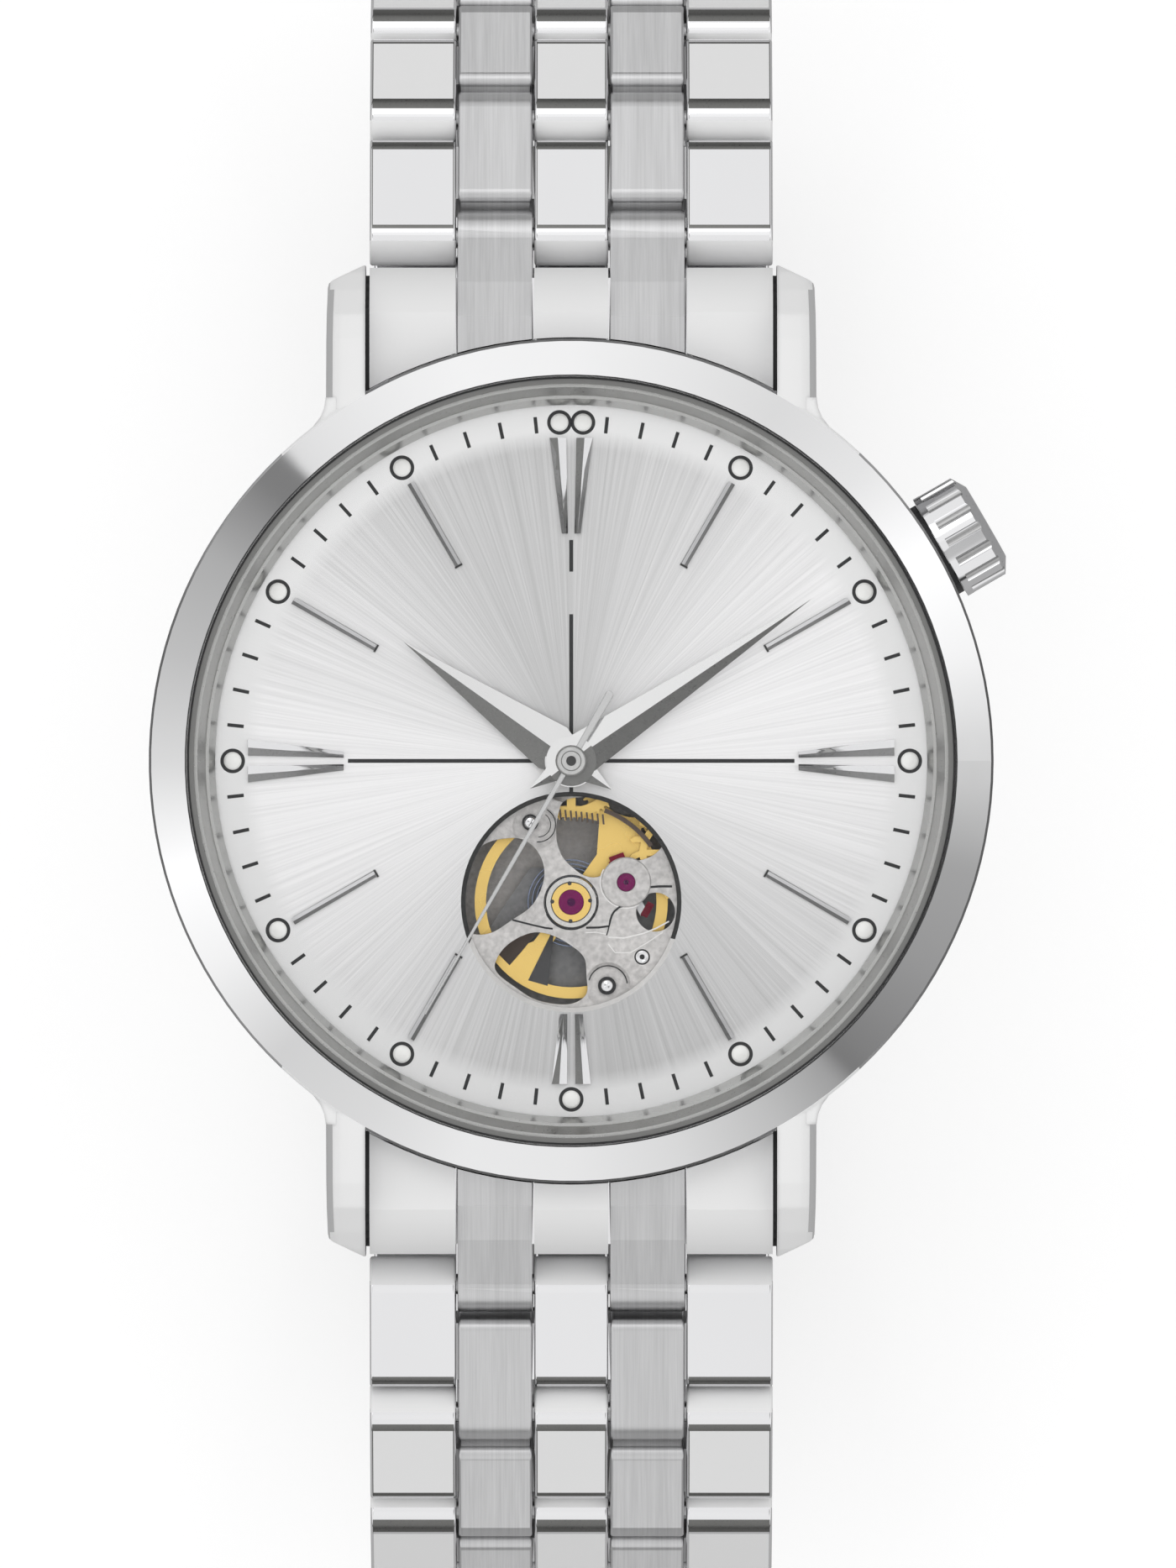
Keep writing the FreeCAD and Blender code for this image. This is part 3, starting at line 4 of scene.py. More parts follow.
import bpy
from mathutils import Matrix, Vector


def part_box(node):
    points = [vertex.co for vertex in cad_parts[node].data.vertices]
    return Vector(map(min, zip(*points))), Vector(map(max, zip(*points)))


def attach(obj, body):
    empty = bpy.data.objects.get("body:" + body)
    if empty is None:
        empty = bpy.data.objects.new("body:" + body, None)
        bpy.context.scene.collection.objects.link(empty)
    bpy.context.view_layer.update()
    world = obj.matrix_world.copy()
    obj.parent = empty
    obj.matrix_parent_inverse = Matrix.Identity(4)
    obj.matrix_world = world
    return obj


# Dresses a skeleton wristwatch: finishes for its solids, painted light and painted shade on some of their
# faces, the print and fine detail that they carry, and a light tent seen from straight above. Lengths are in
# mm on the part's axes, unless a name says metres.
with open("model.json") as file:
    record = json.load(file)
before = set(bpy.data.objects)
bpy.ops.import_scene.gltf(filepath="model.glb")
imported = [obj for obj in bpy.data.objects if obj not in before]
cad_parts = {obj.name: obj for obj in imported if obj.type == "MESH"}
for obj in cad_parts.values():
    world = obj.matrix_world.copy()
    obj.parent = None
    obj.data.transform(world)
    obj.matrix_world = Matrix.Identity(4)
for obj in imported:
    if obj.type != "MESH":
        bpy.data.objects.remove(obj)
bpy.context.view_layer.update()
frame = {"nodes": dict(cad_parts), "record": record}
nodes = frame["nodes"]
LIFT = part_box("case_back")[0].z * 1000  # underside of the case back
DIAL_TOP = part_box("dial")[1].z * 1000
PLATE_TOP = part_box("main_plate")[1].z * 1000

# ------------------------------------------------------------ materials
def new_material(name):
    """A new material with its node tree and its main shader."""
    material = bpy.data.materials.new(name)
    material.use_nodes = True
    tree = material.node_tree
    shader = tree.nodes["Principled BSDF"]
    return material, tree, shader


def add(tree, kind, **settings):
    """A new node with the given settings."""
    node = tree.nodes.new(kind)
    for key, value in settings.items():
        setattr(node, key, value)
    return node


def feed(tree, value, node, socket):
    tree.links.new(value, node.inputs[socket])


def math_node(tree, operation, a, b=None):
    """A calculation on one or two values, each a socket or a plain number."""
    node = add(tree, "ShaderNodeMath", operation=operation)
    for socket, value in ((0, a), (1, b)):
        if value is None:
            continue
        if isinstance(value, (int, float)):
            node.inputs[socket].default_value = value
        else:
            feed(tree, value, node, socket)
    return node.outputs[0]


def coordinates(tree, scale=(1, 1, 1)):
    """Object coordinates, stretched."""
    source = add(tree, "ShaderNodeTexCoord")
    mapping = add(tree, "ShaderNodeMapping")
    mapping.inputs["Scale"].default_value = scale
    feed(tree, source.outputs["Object"], mapping, "Vector")
    return mapping.outputs["Vector"]


def noise(tree, vector, scale, detail=3.0, rough=0.55):
    """Cloudy noise from 0 to 1; scale is in waves per metre."""
    node = add(tree, "ShaderNodeTexNoise")
    node.inputs["Scale"].default_value = scale
    node.inputs["Detail"].default_value = detail
    node.inputs["Roughness"].default_value = rough
    feed(tree, vector, node, "Vector")
    return node.outputs["Fac"]


def spread(tree, value, low, high, to_low, to_high):
    """Maps the range low to high onto to_low to to_high, held at its ends."""
    node = add(tree, "ShaderNodeMapRange")
    feed(tree, value, node, "Value")
    for name, number in (("From Min", low), ("From Max", high), ("To Min", to_low), ("To Max", to_high)):
        node.inputs[name].default_value = number
    return node.outputs["Result"]


def weighted(tree, first, first_share, second, second_share):
    """The sum of two values, each times its share."""
    first = math_node(tree, "MULTIPLY", first, first_share)
    second = math_node(tree, "MULTIPLY", second, second_share)
    return math_node(tree, "ADD", first, second)


def tint(tree, value, dark, light):
    """A colour between dark and light, as value goes from 0 to 1."""
    node = add(tree, "ShaderNodeMix", data_type="RGBA")
    node.inputs["A"].default_value = (*dark, 1)
    node.inputs["B"].default_value = (*light, 1)
    feed(tree, value, node, "Factor")
    return node.outputs["Result"]


def rounded(tree, shader, radius):
    """Softens hard edges in the shading; the radius is in metres."""
    node = add(tree, "ShaderNodeBevel", samples=6)
    node.inputs["Radius"].default_value = radius
    feed(tree, node.outputs["Normal"], shader, "Normal")


def bump(tree, shader, value, strength, distance):
    """Fine relief in the shading; the distance is in metres."""
    node = add(tree, "ShaderNodeBump")
    node.inputs["Strength"].default_value = strength
    node.inputs["Distance"].default_value = distance
    feed(tree, value, node, "Height")
    feed(tree, node.outputs["Normal"], shader, "Normal")


def polished(name, colour=(0.79, 0.79, 0.8), rough=0.07, edge=0.0):
    """Mirror-polished metal with faint wiping marks; edge softens its edges, in metres."""
    material, tree, shader = new_material(name)
    shader.inputs["Metallic"].default_value = 1.0
    cloud = noise(tree, coordinates(tree), 90.0)
    dark = tuple(c * 0.97 for c in colour)
    feed(tree, tint(tree, cloud, dark, colour), shader, "Base Color")
    feed(tree, spread(tree, cloud, 0.3, 0.7, rough * 0.8, rough * 1.3), shader, "Roughness")
    if edge:
        rounded(tree, shader, edge)
    return material


def brushed(name, colour=(0.58, 0.58, 0.585), rough=0.34, scale=(1, 0.02, 0.02), grain=9000.0, depth=0.16,
            metallic=1.0):
    """Steel with fine parallel brushing; scale is small along the lines."""
    material, tree, shader = new_material(name)
    shader.inputs["Metallic"].default_value = metallic
    lines = noise(tree, coordinates(tree, scale), grain, 4.0, 0.65)
    wide = noise(tree, coordinates(tree, scale), grain / 7, 2.0, 0.5)
    both = weighted(tree, lines, 0.65, wide, 0.35)
    dark = tuple(c * 0.88 for c in colour)
    light = tuple(min(1.0, c * 1.08) for c in colour)
    feed(tree, tint(tree, spread(tree, both, 0.35, 0.65, 0, 1), dark, light), shader, "Base Color")
    feed(tree, spread(tree, lines, 0.3, 0.7, rough * 0.85, rough * 1.15), shader, "Roughness")
    bump(tree, shader, lines, depth, 0.00001)
    return material


def painted_light_steel(name, shade, edge=0.0):
    """Polished steel with painted even light: a matte, pale copy that takes an even light where it slopes
    away.
    """
    material, tree, shader = new_material(name)
    shader.inputs["Roughness"].default_value = 0.4
    shader.inputs["Specular IOR Level"].default_value = 0.08
    cloud = noise(tree, coordinates(tree), 90.0)
    feed(tree, tint(tree, cloud, (shade * 0.97,) * 3, (shade,) * 3), shader, "Base Color")
    if edge:
        rounded(tree, shader, edge)
    return material


def grained(name, colour, rough=0.4, grain=9000.0, metallic=1.0, amount=0.1):
    """A finely blasted or frosted surface."""
    material, tree, shader = new_material(name)
    shader.inputs["Metallic"].default_value = metallic
    fine = noise(tree, coordinates(tree), grain, 2.0)
    broad = noise(tree, coordinates(tree), grain / 12, 3.0)
    both = weighted(tree, fine, 0.6, broad, 0.4)
    dark = tuple(c * (1 - amount) for c in colour)
    light = tuple(min(1.0, c * (1 + amount)) for c in colour)
    feed(tree, tint(tree, spread(tree, both, 0.35, 0.65, 0, 1), dark, light), shader, "Base Color")
    feed(tree, spread(tree, fine, 0.3, 0.7, rough * 0.9, rough * 1.1), shader, "Roughness")
    bump(tree, shader, fine, 0.15, 0.00001)
    return material


def dial_material():
    """Silver sunray dial: radial brushing, with painted highlights in two bright fans and a paler, smoother
    rim, and painted shade towards six o'clock.
    """
    material, tree, shader = new_material("dial_sunray")
    shader.inputs["Metallic"].default_value = 0.75
    shader.inputs["Roughness"].default_value = 0.42
    source = add(tree, "ShaderNodeTexCoord")
    place = add(tree, "ShaderNodeSeparateXYZ")
    feed(tree, source.outputs["Object"], place, 0)
    x, y = place.outputs["X"], place.outputs["Y"]
    turn = math_node(tree, "DIVIDE", math_node(tree, "ARCTAN2", y, x), 2 * math.pi)
    squares = math_node(tree, "ADD", math_node(tree, "MULTIPLY", x, x), math_node(tree, "MULTIPLY", y, y))
    radius = math_node(tree, "SQRT", squares)

    # Fine rays change fast with the direction and slowly with the radius, broad ones with the direction.
    ray_place = add(tree, "ShaderNodeCombineXYZ")
    feed(tree, math_node(tree, "MULTIPLY", turn, 150.0), ray_place, "X")
    feed(tree, math_node(tree, "MULTIPLY", radius, 9.0), ray_place, "Y")
    rays = spread(tree, noise(tree, ray_place.outputs[0], 5.0, 5.0, 0.7), 0.25, 0.75, 0.0, 1.0)
    broad_place = add(tree, "ShaderNodeCombineXYZ")
    feed(tree, math_node(tree, "MULTIPLY", turn, 9.0), broad_place, "X")
    broad_rays = noise(tree, broad_place.outputs[0], 1.6, 2.0, 0.5)

    # The two fans of painted highlight lie near three and nine o'clock.
    fan_angle = math_node(tree, "MULTIPLY", math_node(tree, "SUBTRACT", turn, 0.03), 4 * math.pi)
    fans = spread(tree, math_node(tree, "COSINE", fan_angle), -1, 1, 0.0, 0.36)
    level = math_node(tree, "ADD", weighted(tree, rays, 0.24, broad_rays, 0.1), fans)
    face = tint(tree, spread(tree, level, 0.1, 0.56, 0, 1), (0.54, 0.54, 0.54), (1.0, 0.995, 1.0))

    # The paler rim is a painted highlight.
    rim = add(tree, "ShaderNodeMix", data_type="RGBA")
    rim.inputs["B"].default_value = (0.88, 0.88, 0.88, 1)
    feed(tree, face, rim, "A")
    feed(tree, spread(tree, radius, 0.0152, 0.0161, 0, 1), rim, "Factor")
    # Painted shade: the dial grows darker towards six o'clock.
    painted_shade_lower = add(tree, "ShaderNodeVectorMath", operation="SCALE")
    feed(tree, rim.outputs["Result"], painted_shade_lower, 0)
    feed(tree, spread(tree, y, -0.015, 0.012, 0.86, 1.0), painted_shade_lower, "Scale")
    feed(tree, painted_shade_lower.outputs["Vector"], shader, "Base Color")
    bump(tree, shader, rays, 0.2, 0.00002)
    return material


def ink(name, colour, rough=0.5):
    """Print, lacquer or rubber with a faint mottle."""
    material, tree, shader = new_material(name)
    shader.inputs["Roughness"].default_value = rough
    cloud = noise(tree, coordinates(tree), 2500.0)
    light = tuple(min(1.0, c * 1.08 + 0.004) for c in colour)
    feed(tree, tint(tree, cloud, colour, light), shader, "Base Color")
    return material


def ruby(name, colour):
    """A jewel: deep and glossy."""
    material, tree, shader = new_material(name)
    shader.inputs["Roughness"].default_value = 0.12
    shader.inputs["Specular IOR Level"].default_value = 0.2
    cloud = noise(tree, coordinates(tree), 1800.0)
    dark = tuple(c * 0.6 for c in colour)
    feed(tree, tint(tree, cloud, dark, colour), shader, "Base Color")
    return material


def clear_glass(name, alpha):
    """Sapphire with an anti-glare layer: nearly unseen from in front."""
    material, tree, shader = new_material(name)
    shader.inputs["Roughness"].default_value = 0.02
    shader.inputs["Alpha"].default_value = alpha
    cloud = noise(tree, coordinates(tree), 40.0)
    feed(tree, tint(tree, cloud, (0.3, 0.32, 0.34), (0.4, 0.42, 0.44)), shader, "Base Color")
    return material


# ------------------------------------------------------------ palette
POLISH = polished("steel_polished")
CASE_TOP = polished("steel_case_top", (0.78, 0.78, 0.785), 0.04)
HAND = polished("steel_hands", (0.8, 0.8, 0.8), 0.12)
SECONDS = polished("steel_seconds_hand", (0.6, 0.6, 0.6), 0.16, 0.00008)
# Painted shade for the hands' and markers' sides and for the hubs.
HAND_SHADE = grained("steel_hands_painted_shade", (0.2, 0.2, 0.195), 0.3, 9000.0, 1.0, 0.06)
# A painted dark reflection for the far round ends of the polished links.
LINK_END_REFLECTION = grained("steel_band_dark", (0.16, 0.16, 0.155), 0.3, 9000.0, 1.0, 0.06)
# Painted shade for the markers' lower faces and rims.
MARKER_SHADE = grained("steel_markers_painted_shade", (0.26, 0.26, 0.26), 0.3, 9000.0, 1.0, 0.06)
# Painted shade for the window's upper wall, the setting's notches, the hub's hole and the markers' feet.
SHADE_DARK = grained("nickel_painted_shade", (0.06, 0.06, 0.06), 0.35, 5000.0, 0.6, 0.1)
HUB = grained("steel_hub", (0.56, 0.56, 0.555), 0.35, 5000.0, 0.5, 0.08)
# Painted highlights for the window's lower wall and the bridges' bevelled edges.
HIGHLIGHT_PALE = grained("nickel_painted_highlight", (0.8, 0.79, 0.78), 0.4, 5000.0, 0.3, 0.05)
CROWN_CAP = grained("steel_crown_cap", (0.56, 0.56, 0.57), 0.3, 5000.0, 1.0, 0.05)
# Painted shade for the bottoms of the crown's flutes.
CROWN_FLUTE_SHADE = grained("steel_crown_flute_painted_shade", (0.4, 0.4, 0.4), 0.3, 5000.0, 1.0, 0.05)
# Painted even light: a matte, pale copy of brushed steel for slopes.
BRUSH_PAINTED_LIGHT = brushed("steel_brushed_painted_light", (0.66, 0.66, 0.665), 0.5, metallic=0.2)
SATIN = brushed("steel_satin", (0.66, 0.66, 0.67), 0.3, (1, 0.03, 1), 7000.0, 0.08)
BRUSH = brushed("steel_brushed")
NICKEL = grained("nickel_grained", (0.66, 0.65, 0.63), 0.42)
PLATE = grained("nickel_frosted", (0.6, 0.585, 0.575), 0.5, 3500.0, 0.85, 0.22)
# Painted shade for the parts that lie deeper, seen through the openings.
PLATE_IN_SHADE = grained("nickel_deep_painted_shade", (0.27, 0.27, 0.275), 0.4, 2500.0, 0.85, 0.25)
# Painted even light: matte, pale copies of polished steel for the slopes of the links and the case.
POLISH_PAINTED_LIGHT = painted_light_steel("steel_polished_painted_light", 0.84)
CASE_PAINTED_LIGHT = painted_light_steel("steel_case_painted_light", 0.84, 0.0004)
GREY_SHADOW = ink("shadow_grey", (0.085, 0.085, 0.088))
BROWN = ink("shadow_brown", (0.09, 0.06, 0.045))
GILT = polished("gilt_polished", (0.88, 0.62, 0.2), 0.25)
BLUED = polished("steel_blued", (0.2, 0.24, 0.34), 0.2)
RUBBER = ink("seal_grey", (0.17, 0.17, 0.165))
# Black for the print, and for painted shade in the lug slots, the counterbores and round the crown.
BLACK = ink("print_and_painted_shade_black", (0.008, 0.008, 0.009))
LUME = ink("lume_white", (0.9, 0.9, 0.88), 0.4)
WHITE = ink("holder_white", (0.72, 0.72, 0.7))
PINK = ruby("jewel_pink", (0.2, 0.004, 0.1))
RED = ruby("jewel_red", (0.32, 0.0, 0.03))
DEEP_RED = ruby("jewel_deep", (0.07, 0.0, 0.06))
SAPPHIRE = clear_glass("sapphire_clear", 0.015)
DIAL = dial_material()
FLANGE = grained("flange_grey", (0.46, 0.46, 0.45), 0.3, 9000.0, 1.0, 0.02)

BY_SLOT = {
    "polished_steel": POLISH, "satin_steel": SATIN, "bracelet_steel": BRUSH, "sapphire": SAPPHIRE,
    "seal": RUBBER, "flange": FLANGE, "dial_silver": DIAL, "marker_steel": POLISH, "hand_steel": HAND,
    "plate": PLATE, "ruby": PINK, "gold": GILT, "holder": WHITE, "spring_steel": BLUED,
}
for entry in frame["record"]["subparts"]:
    node = nodes[entry["node"]]
    node.data.materials.clear()
    node.data.materials.append(BY_SLOT[entry["material_slot"]])
nodes["second_hand"].data.materials[0] = SECONDS


# ------------------------------------------------------------ second finishes, painted light and painted shade on some faces of the solids
MIDDLE_HALF = 1.86  # half the width of a link's polished middle segment
SIDE_FROM = 5.6  # where its polished side segments begin
LINK_SLOPES_FROM = LIFT - 16  # links below this height keep their finishes: they lean the other way
BROAD_FACE = 2.0  # square millimetres: the flats of a link, as against its rounded ends
END_BRUSHED_TO = 25.8  # how far from the centre the end link's slopes take a painted even light
END_POLISHED_TO = 24.05
CASE_TOP_FROM = LIFT + 5  # lugs and bezel lie above this height
CASE_RADIUS = 20.5
CHAMFER_FROM = 20.36  # inner edge of the bezel's outer chamfer
LUG_SPAN = (9.8, 14.2)  # the lugs' faces next to the bezel, across the case
BALANCE = (0.0, -6.87)
WINDOW = (0.0, -6.86)
WINDOW_EDGE = 5.42  # just outside the window's wall
SETTING_INNER = 0.962  # the gilt middle of the shock setting
PALLET_STONES = ((1.98, -4.83), (3.57, -7.47))
STONE_REACH = 0.55
CROWN_TURN = math.radians(30)  # the crown stands at two o'clock
CROWN_AXIS = Vector((math.cos(CROWN_TURN), math.sin(CROWN_TURN), 0))
CROWN_LOW, CROWN_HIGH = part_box("crown")[0].z * 1000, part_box("crown")[1].z * 1000
CROWN_RADIUS = (CROWN_HIGH - CROWN_LOW) / 2
CROWN_MIDDLE = (CROWN_LOW + CROWN_HIGH) / 2
FLUTE_DEPTH = 0.12


def distance(point, centre):
    """How far a point is from an upright axis through centre."""
    return math.hypot(point.x - centre[0], point.y - centre[1])


def paint(node_name, extra, chooser):
    """Gives some faces of a CAD node a second finish, painted light or painted shade; chooser sees the face
    centre in mm and the normal.
    """
    mesh = nodes[node_name].data
    mesh.materials.append(extra)
    index = len(mesh.materials) - 1
    for face in mesh.polygons:
        if chooser(face.center * 1000, face.normal):
            face.material_index = index


def polished_segment(centre, normal=None):
    """The middle and the outer segments of a link; the two between them are brushed."""
    x = abs(centre.x)
    return x < MIDDLE_HALF or x > SIDE_FROM


def hand_shade_side(centre, normal):
    """The sides of the ridged hands that slope towards six o'clock, which take painted shade."""
    return normal.z > 0.2 and normal.y < -0.03


# Brushed slopes of the end links, which take a painted even light.
def end_link_brushed_slope(centre, normal):
    sloped = normal.z > 0.3 and abs(normal.y) > 0.1
    return sloped and not polished_segment(centre) and abs(centre.y) < END_BRUSHED_TO


# Polished slopes of the end links that fall away from the case, which take a painted even light.
def end_link_polished_slope(centre, normal):
    away = normal.z > 0.2 and normal.y * centre.y > 0.05
    return away and polished_segment(centre) and abs(centre.y) < END_POLISHED_TO


def crown_flute(centre, normal):
    """Faces of the crown at the bottom of its flutes, which take painted shade."""
    flat = Vector((centre.x, centre.y, 0))
    beside = flat - CROWN_AXIS * flat.dot(CROWN_AXIS)
    out = math.hypot(beside.length, centre.z - CROWN_MIDDLE)
    return abs(normal.dot(CROWN_AXIS)) < 0.25 and out < CROWN_RADIUS - FLUTE_DEPTH


def case_painted_light_face(centre, normal):
    """The lugs' tops, and the bezel's chamfer where it meets them: these take a painted even light."""
    reach = math.hypot(centre.x, centre.y)
    on_lug = reach > CASE_RADIUS and abs(normal.x) < 0.6
    beside_lug = CHAMFER_FROM < reach <= CASE_RADIUS and LUG_SPAN[0] < abs(centre.x) < LUG_SPAN[1]
    return normal.z > 0.25 and (on_lug or beside_lug)


# The wall of the dial's window, which takes painted shade above and painted light below.
def window_wall(centre, normal):
    return distance(centre, WINDOW) < WINDOW_EDGE and normal.z < 0.9


def pallet_stone(centre, normal):
    return min(distance(centre, stone) for stone in PALLET_STONES) < STONE_REACH


def paint_link_slopes(node_name):
    """Faces of a link that leans away take painted light and shade: broad slopes a painted even light; on the
    polished segments the far round end a painted dark reflection, the near end the painted even light.
    """
    mesh = nodes[node_name].data
    first = len(mesh.materials)
    for extra in (POLISH_PAINTED_LIGHT, BRUSH_PAINTED_LIGHT, LINK_END_REFLECTION):
        mesh.materials.append(extra)
    soft, slope, band_dark = first, first + 1, first + 2
    for face in mesh.polygons:
        centre = face.center * 1000
        normal = face.normal
        if centre.z < LINK_SLOPES_FROM or normal.z < 0.1:
            continue
        bright = polished_segment(centre)
        away = normal.y * math.copysign(1, centre.y)
        if face.area * 1e6 > BROAD_FACE:
            if 0.35 < normal.z < 0.85:
                face.material_index = soft if bright else slope
        # Painted dark reflection on the far round end; painted even light on the near end.
        elif bright and 0.38 < away < 0.86 and abs(normal.x) < 0.3:
            face.material_index = band_dark
        elif bright and away < -0.04:
            face.material_index = soft


for name in nodes:
    if name.startswith("link_") or name.startswith("end_link"):
        paint(name, POLISH, polished_segment)
    if name.startswith("link_"):
        paint_link_slopes(name)
# The end links' slopes take a painted even light.
for name in ("end_link_12", "end_link_6"):
    paint(name, BRUSH_PAINTED_LIGHT, end_link_brushed_slope)
    paint(name, POLISH_PAINTED_LIGHT, end_link_polished_slope)
# Painted shade on the hands' sides that slope towards six o'clock.
for name in ("hour_hand", "minute_hand"):
    paint(name, HAND_SHADE, hand_shade_side)
# Painted shade on the markers' faces that slope towards six o'clock and on faces that turn towards nine
# o'clock.
paint("hour_indices", MARKER_SHADE, lambda centre, normal: normal.y < -0.05)
paint("hour_indices", HAND_SHADE, lambda centre, normal: abs(normal.y) < 0.05 and normal.x < -0.3)
paint("crown", CROWN_CAP, lambda centre, normal: normal.dot(CROWN_AXIS) > 0.25)
# Painted shade in the crown's flutes.
paint("crown", CROWN_FLUTE_SHADE, crown_flute)
paint("case_middle", CASE_TOP, lambda centre, normal: normal.z > 0.12 and centre.z > CASE_TOP_FROM)
# Painted even light on the lugs' tops and on the chamfer beside them.
paint("case_middle", CASE_PAINTED_LIGHT, case_painted_light_face)
# Painted shade on the train bridge and the balance cock, which lie deeper, seen through the openings.
paint("train_bridge", PLATE_IN_SHADE, lambda centre, normal: True)
paint("balance_cock", PLATE_IN_SHADE, lambda centre, normal: normal.z > -0.5)
# Painted shade on the window's upper wall, painted light on its lower wall.
paint("dial", SHADE_DARK, lambda centre, normal: window_wall(centre, normal) and normal.y < 0.25)
paint("dial", HIGHLIGHT_PALE, lambda centre, normal: window_wall(centre, normal) and normal.y >= 0.25)
paint("shock_setting", NICKEL, lambda centre, normal: distance(centre, BALANCE) > SETTING_INNER)
paint("pallet_fork", RED, pallet_stone)


# ------------------------------------------------------------ mesh pieces, drawn in mm
def piece(name, points, faces, material, slot_name, body="head", smooth=False):
    """A visible mesh that moves with a body of the part."""
    mesh = bpy.data.meshes.new(name)
    mesh.from_pydata([Vector(p) * 0.001 for p in points], [], faces)
    mesh.update()
    mesh.materials.append(material)
    for face in mesh.polygons:
        face.use_smooth = smooth
    item = bpy.data.objects.new(name, mesh)
    bpy.context.scene.collection.objects.link(item)
    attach(item, body)


def merged(parts):
    """Joins lists of (points, faces) into one."""
    points = []
    faces = []
    for more_points, more_faces in parts:
        start = len(points)
        points += more_points
        faces += [[start + i for i in face] for face in more_faces]
    return points, faces


def slab(outline, low, high):
    """A straight-sided plate on an outline."""
    count = len(outline)
    points = [(x, y, low) for x, y in outline] + [(x, y, high) for x, y in outline]
    faces = [list(range(count - 1, -1, -1)), list(range(count, 2 * count))]
    for i in range(count):
        j = (i + 1) % count
        faces.append([i, j, count + j, count + i])
    return points, faces


def turned(profile, centre=(0.0, 0.0), steps=64):
    """A ring or dome turned from (radius, height) points."""
    x, y = centre
    points = []
    for r, z in profile:
        for k in range(steps):
            a = 2 * math.pi * k / steps
            points.append((x + r * math.cos(a), y + r * math.sin(a), z))
    faces = []
    for i in range(len(profile) - 1):
        for k in range(steps):
            m = (k + 1) % steps
            faces.append([i * steps + k, i * steps + m, (i + 1) * steps + m, (i + 1) * steps + k])
    return points, faces


def line(points, width, low, high):
    """A narrow raised line along points, in straight pieces."""
    left = []
    right = []
    for i, (x, y) in enumerate(points):
        ax, ay = points[max(0, i - 1)]
        bx, by = points[min(len(points) - 1, i + 1)]
        length = math.hypot(bx - ax, by - ay)
        nx, ny = -(by - ay) / length, (bx - ax) / length
        left.append((x + nx * width / 2, y + ny * width / 2))
        right.append((x - nx * width / 2, y - ny * width / 2))
    parts = []
    for i in range(len(points) - 1):
        parts.append(slab([right[i], right[i + 1], left[i + 1], left[i]], low, high))
    return merged(parts)


def polar(radius, degrees):
    """The point at a radius and a direction, anticlockwise from three o'clock."""
    return radius * math.cos(math.radians(degrees)), radius * math.sin(math.radians(degrees))


def arc(centre, radius, start, end, steps=28):
    """Points along part of a circle."""
    points = []
    for k in range(steps + 1):
        px, py = polar(radius, start + (end - start) * k / steps)
        points.append((centre[0] + px, centre[1] + py))
    return points


# ------------------------------------------------------------ print on the dial
PRINT = DIAL_TOP + 0.012  # top of the ink
MINUTE_MARK = (16.0, 16.8)  # from and to, out from the centre
MINUTE_WIDTH = 0.17
CROSS_WIDTH = 0.19
CROSS_LINES = (
    ((0, 10.74), (0, 9.2)), ((0, 7.13), (0, 1.3)), ((0, -1.0), (0, -1.62)),
    ((-10.85, 0), (-1.2, 0)), ((1.2, 0), (10.85, 0)),
)
DOT_RING = 16.45  # radius of the circle that the hour dots stand on
DOT_EDGE = 0.6
DOT_DOME = ((0.435, 0.0), (0.42, 0.05), (0.3, 0.12), (0.0, 0.15))  # radius and height over the ink
TWIN_DOT = 0.57  # half the distance between the two dots at twelve

marks = []
for minute in range(60):
    if minute % 5:
        ends = [polar(radius, 90 - 6 * minute) for radius in MINUTE_MARK]
        marks.append(line(ends, MINUTE_WIDTH, DIAL_TOP, PRINT))
for ends in CROSS_LINES:
    marks.append(line(ends, CROSS_WIDTH, DIAL_TOP, PRINT))
piece("dial_print", *merged(marks), BLACK, "dial_silver")

rings = []
domes = []
dots = [(-TWIN_DOT, DOT_RING), (TWIN_DOT, DOT_RING)]
dots += [polar(DOT_RING, 90 - 30 * hour) for hour in range(1, 12)]
for dot in dots:
    rings.append(turned([(0.0, PRINT), (DOT_EDGE, PRINT), (DOT_EDGE, DIAL_TOP)], dot, 40))
    domes.append(turned([(radius, PRINT + high) for radius, high in DOT_DOME], dot, 40))
piece("hour_dot_rings", *merged(rings), BLACK, "dial_silver")
piece("hour_dots", *merged(domes), LUME, "dial_silver", smooth=True)


# ------------------------------------------------------------ details seen through the window
PALLET_JEWEL = (2.67, -5.9)
LOWER_STUD = (1.74, -10.93)
UPPER_STUD = (-1.99, -2.99)
SMALL_STUD = (3.45, -9.53)
UPPER_DISC = (-1.6, -3.1)
STAFF_REACH = 2.0  # the balance's rim and arms are sought outside this radius
wheel = [v.co * 1000 for v in nodes["balance_wheel"].data.vertices]
BALANCE_TOP = max(co.z for co in wheel if distance(co, BALANCE) > STAFF_REACH)

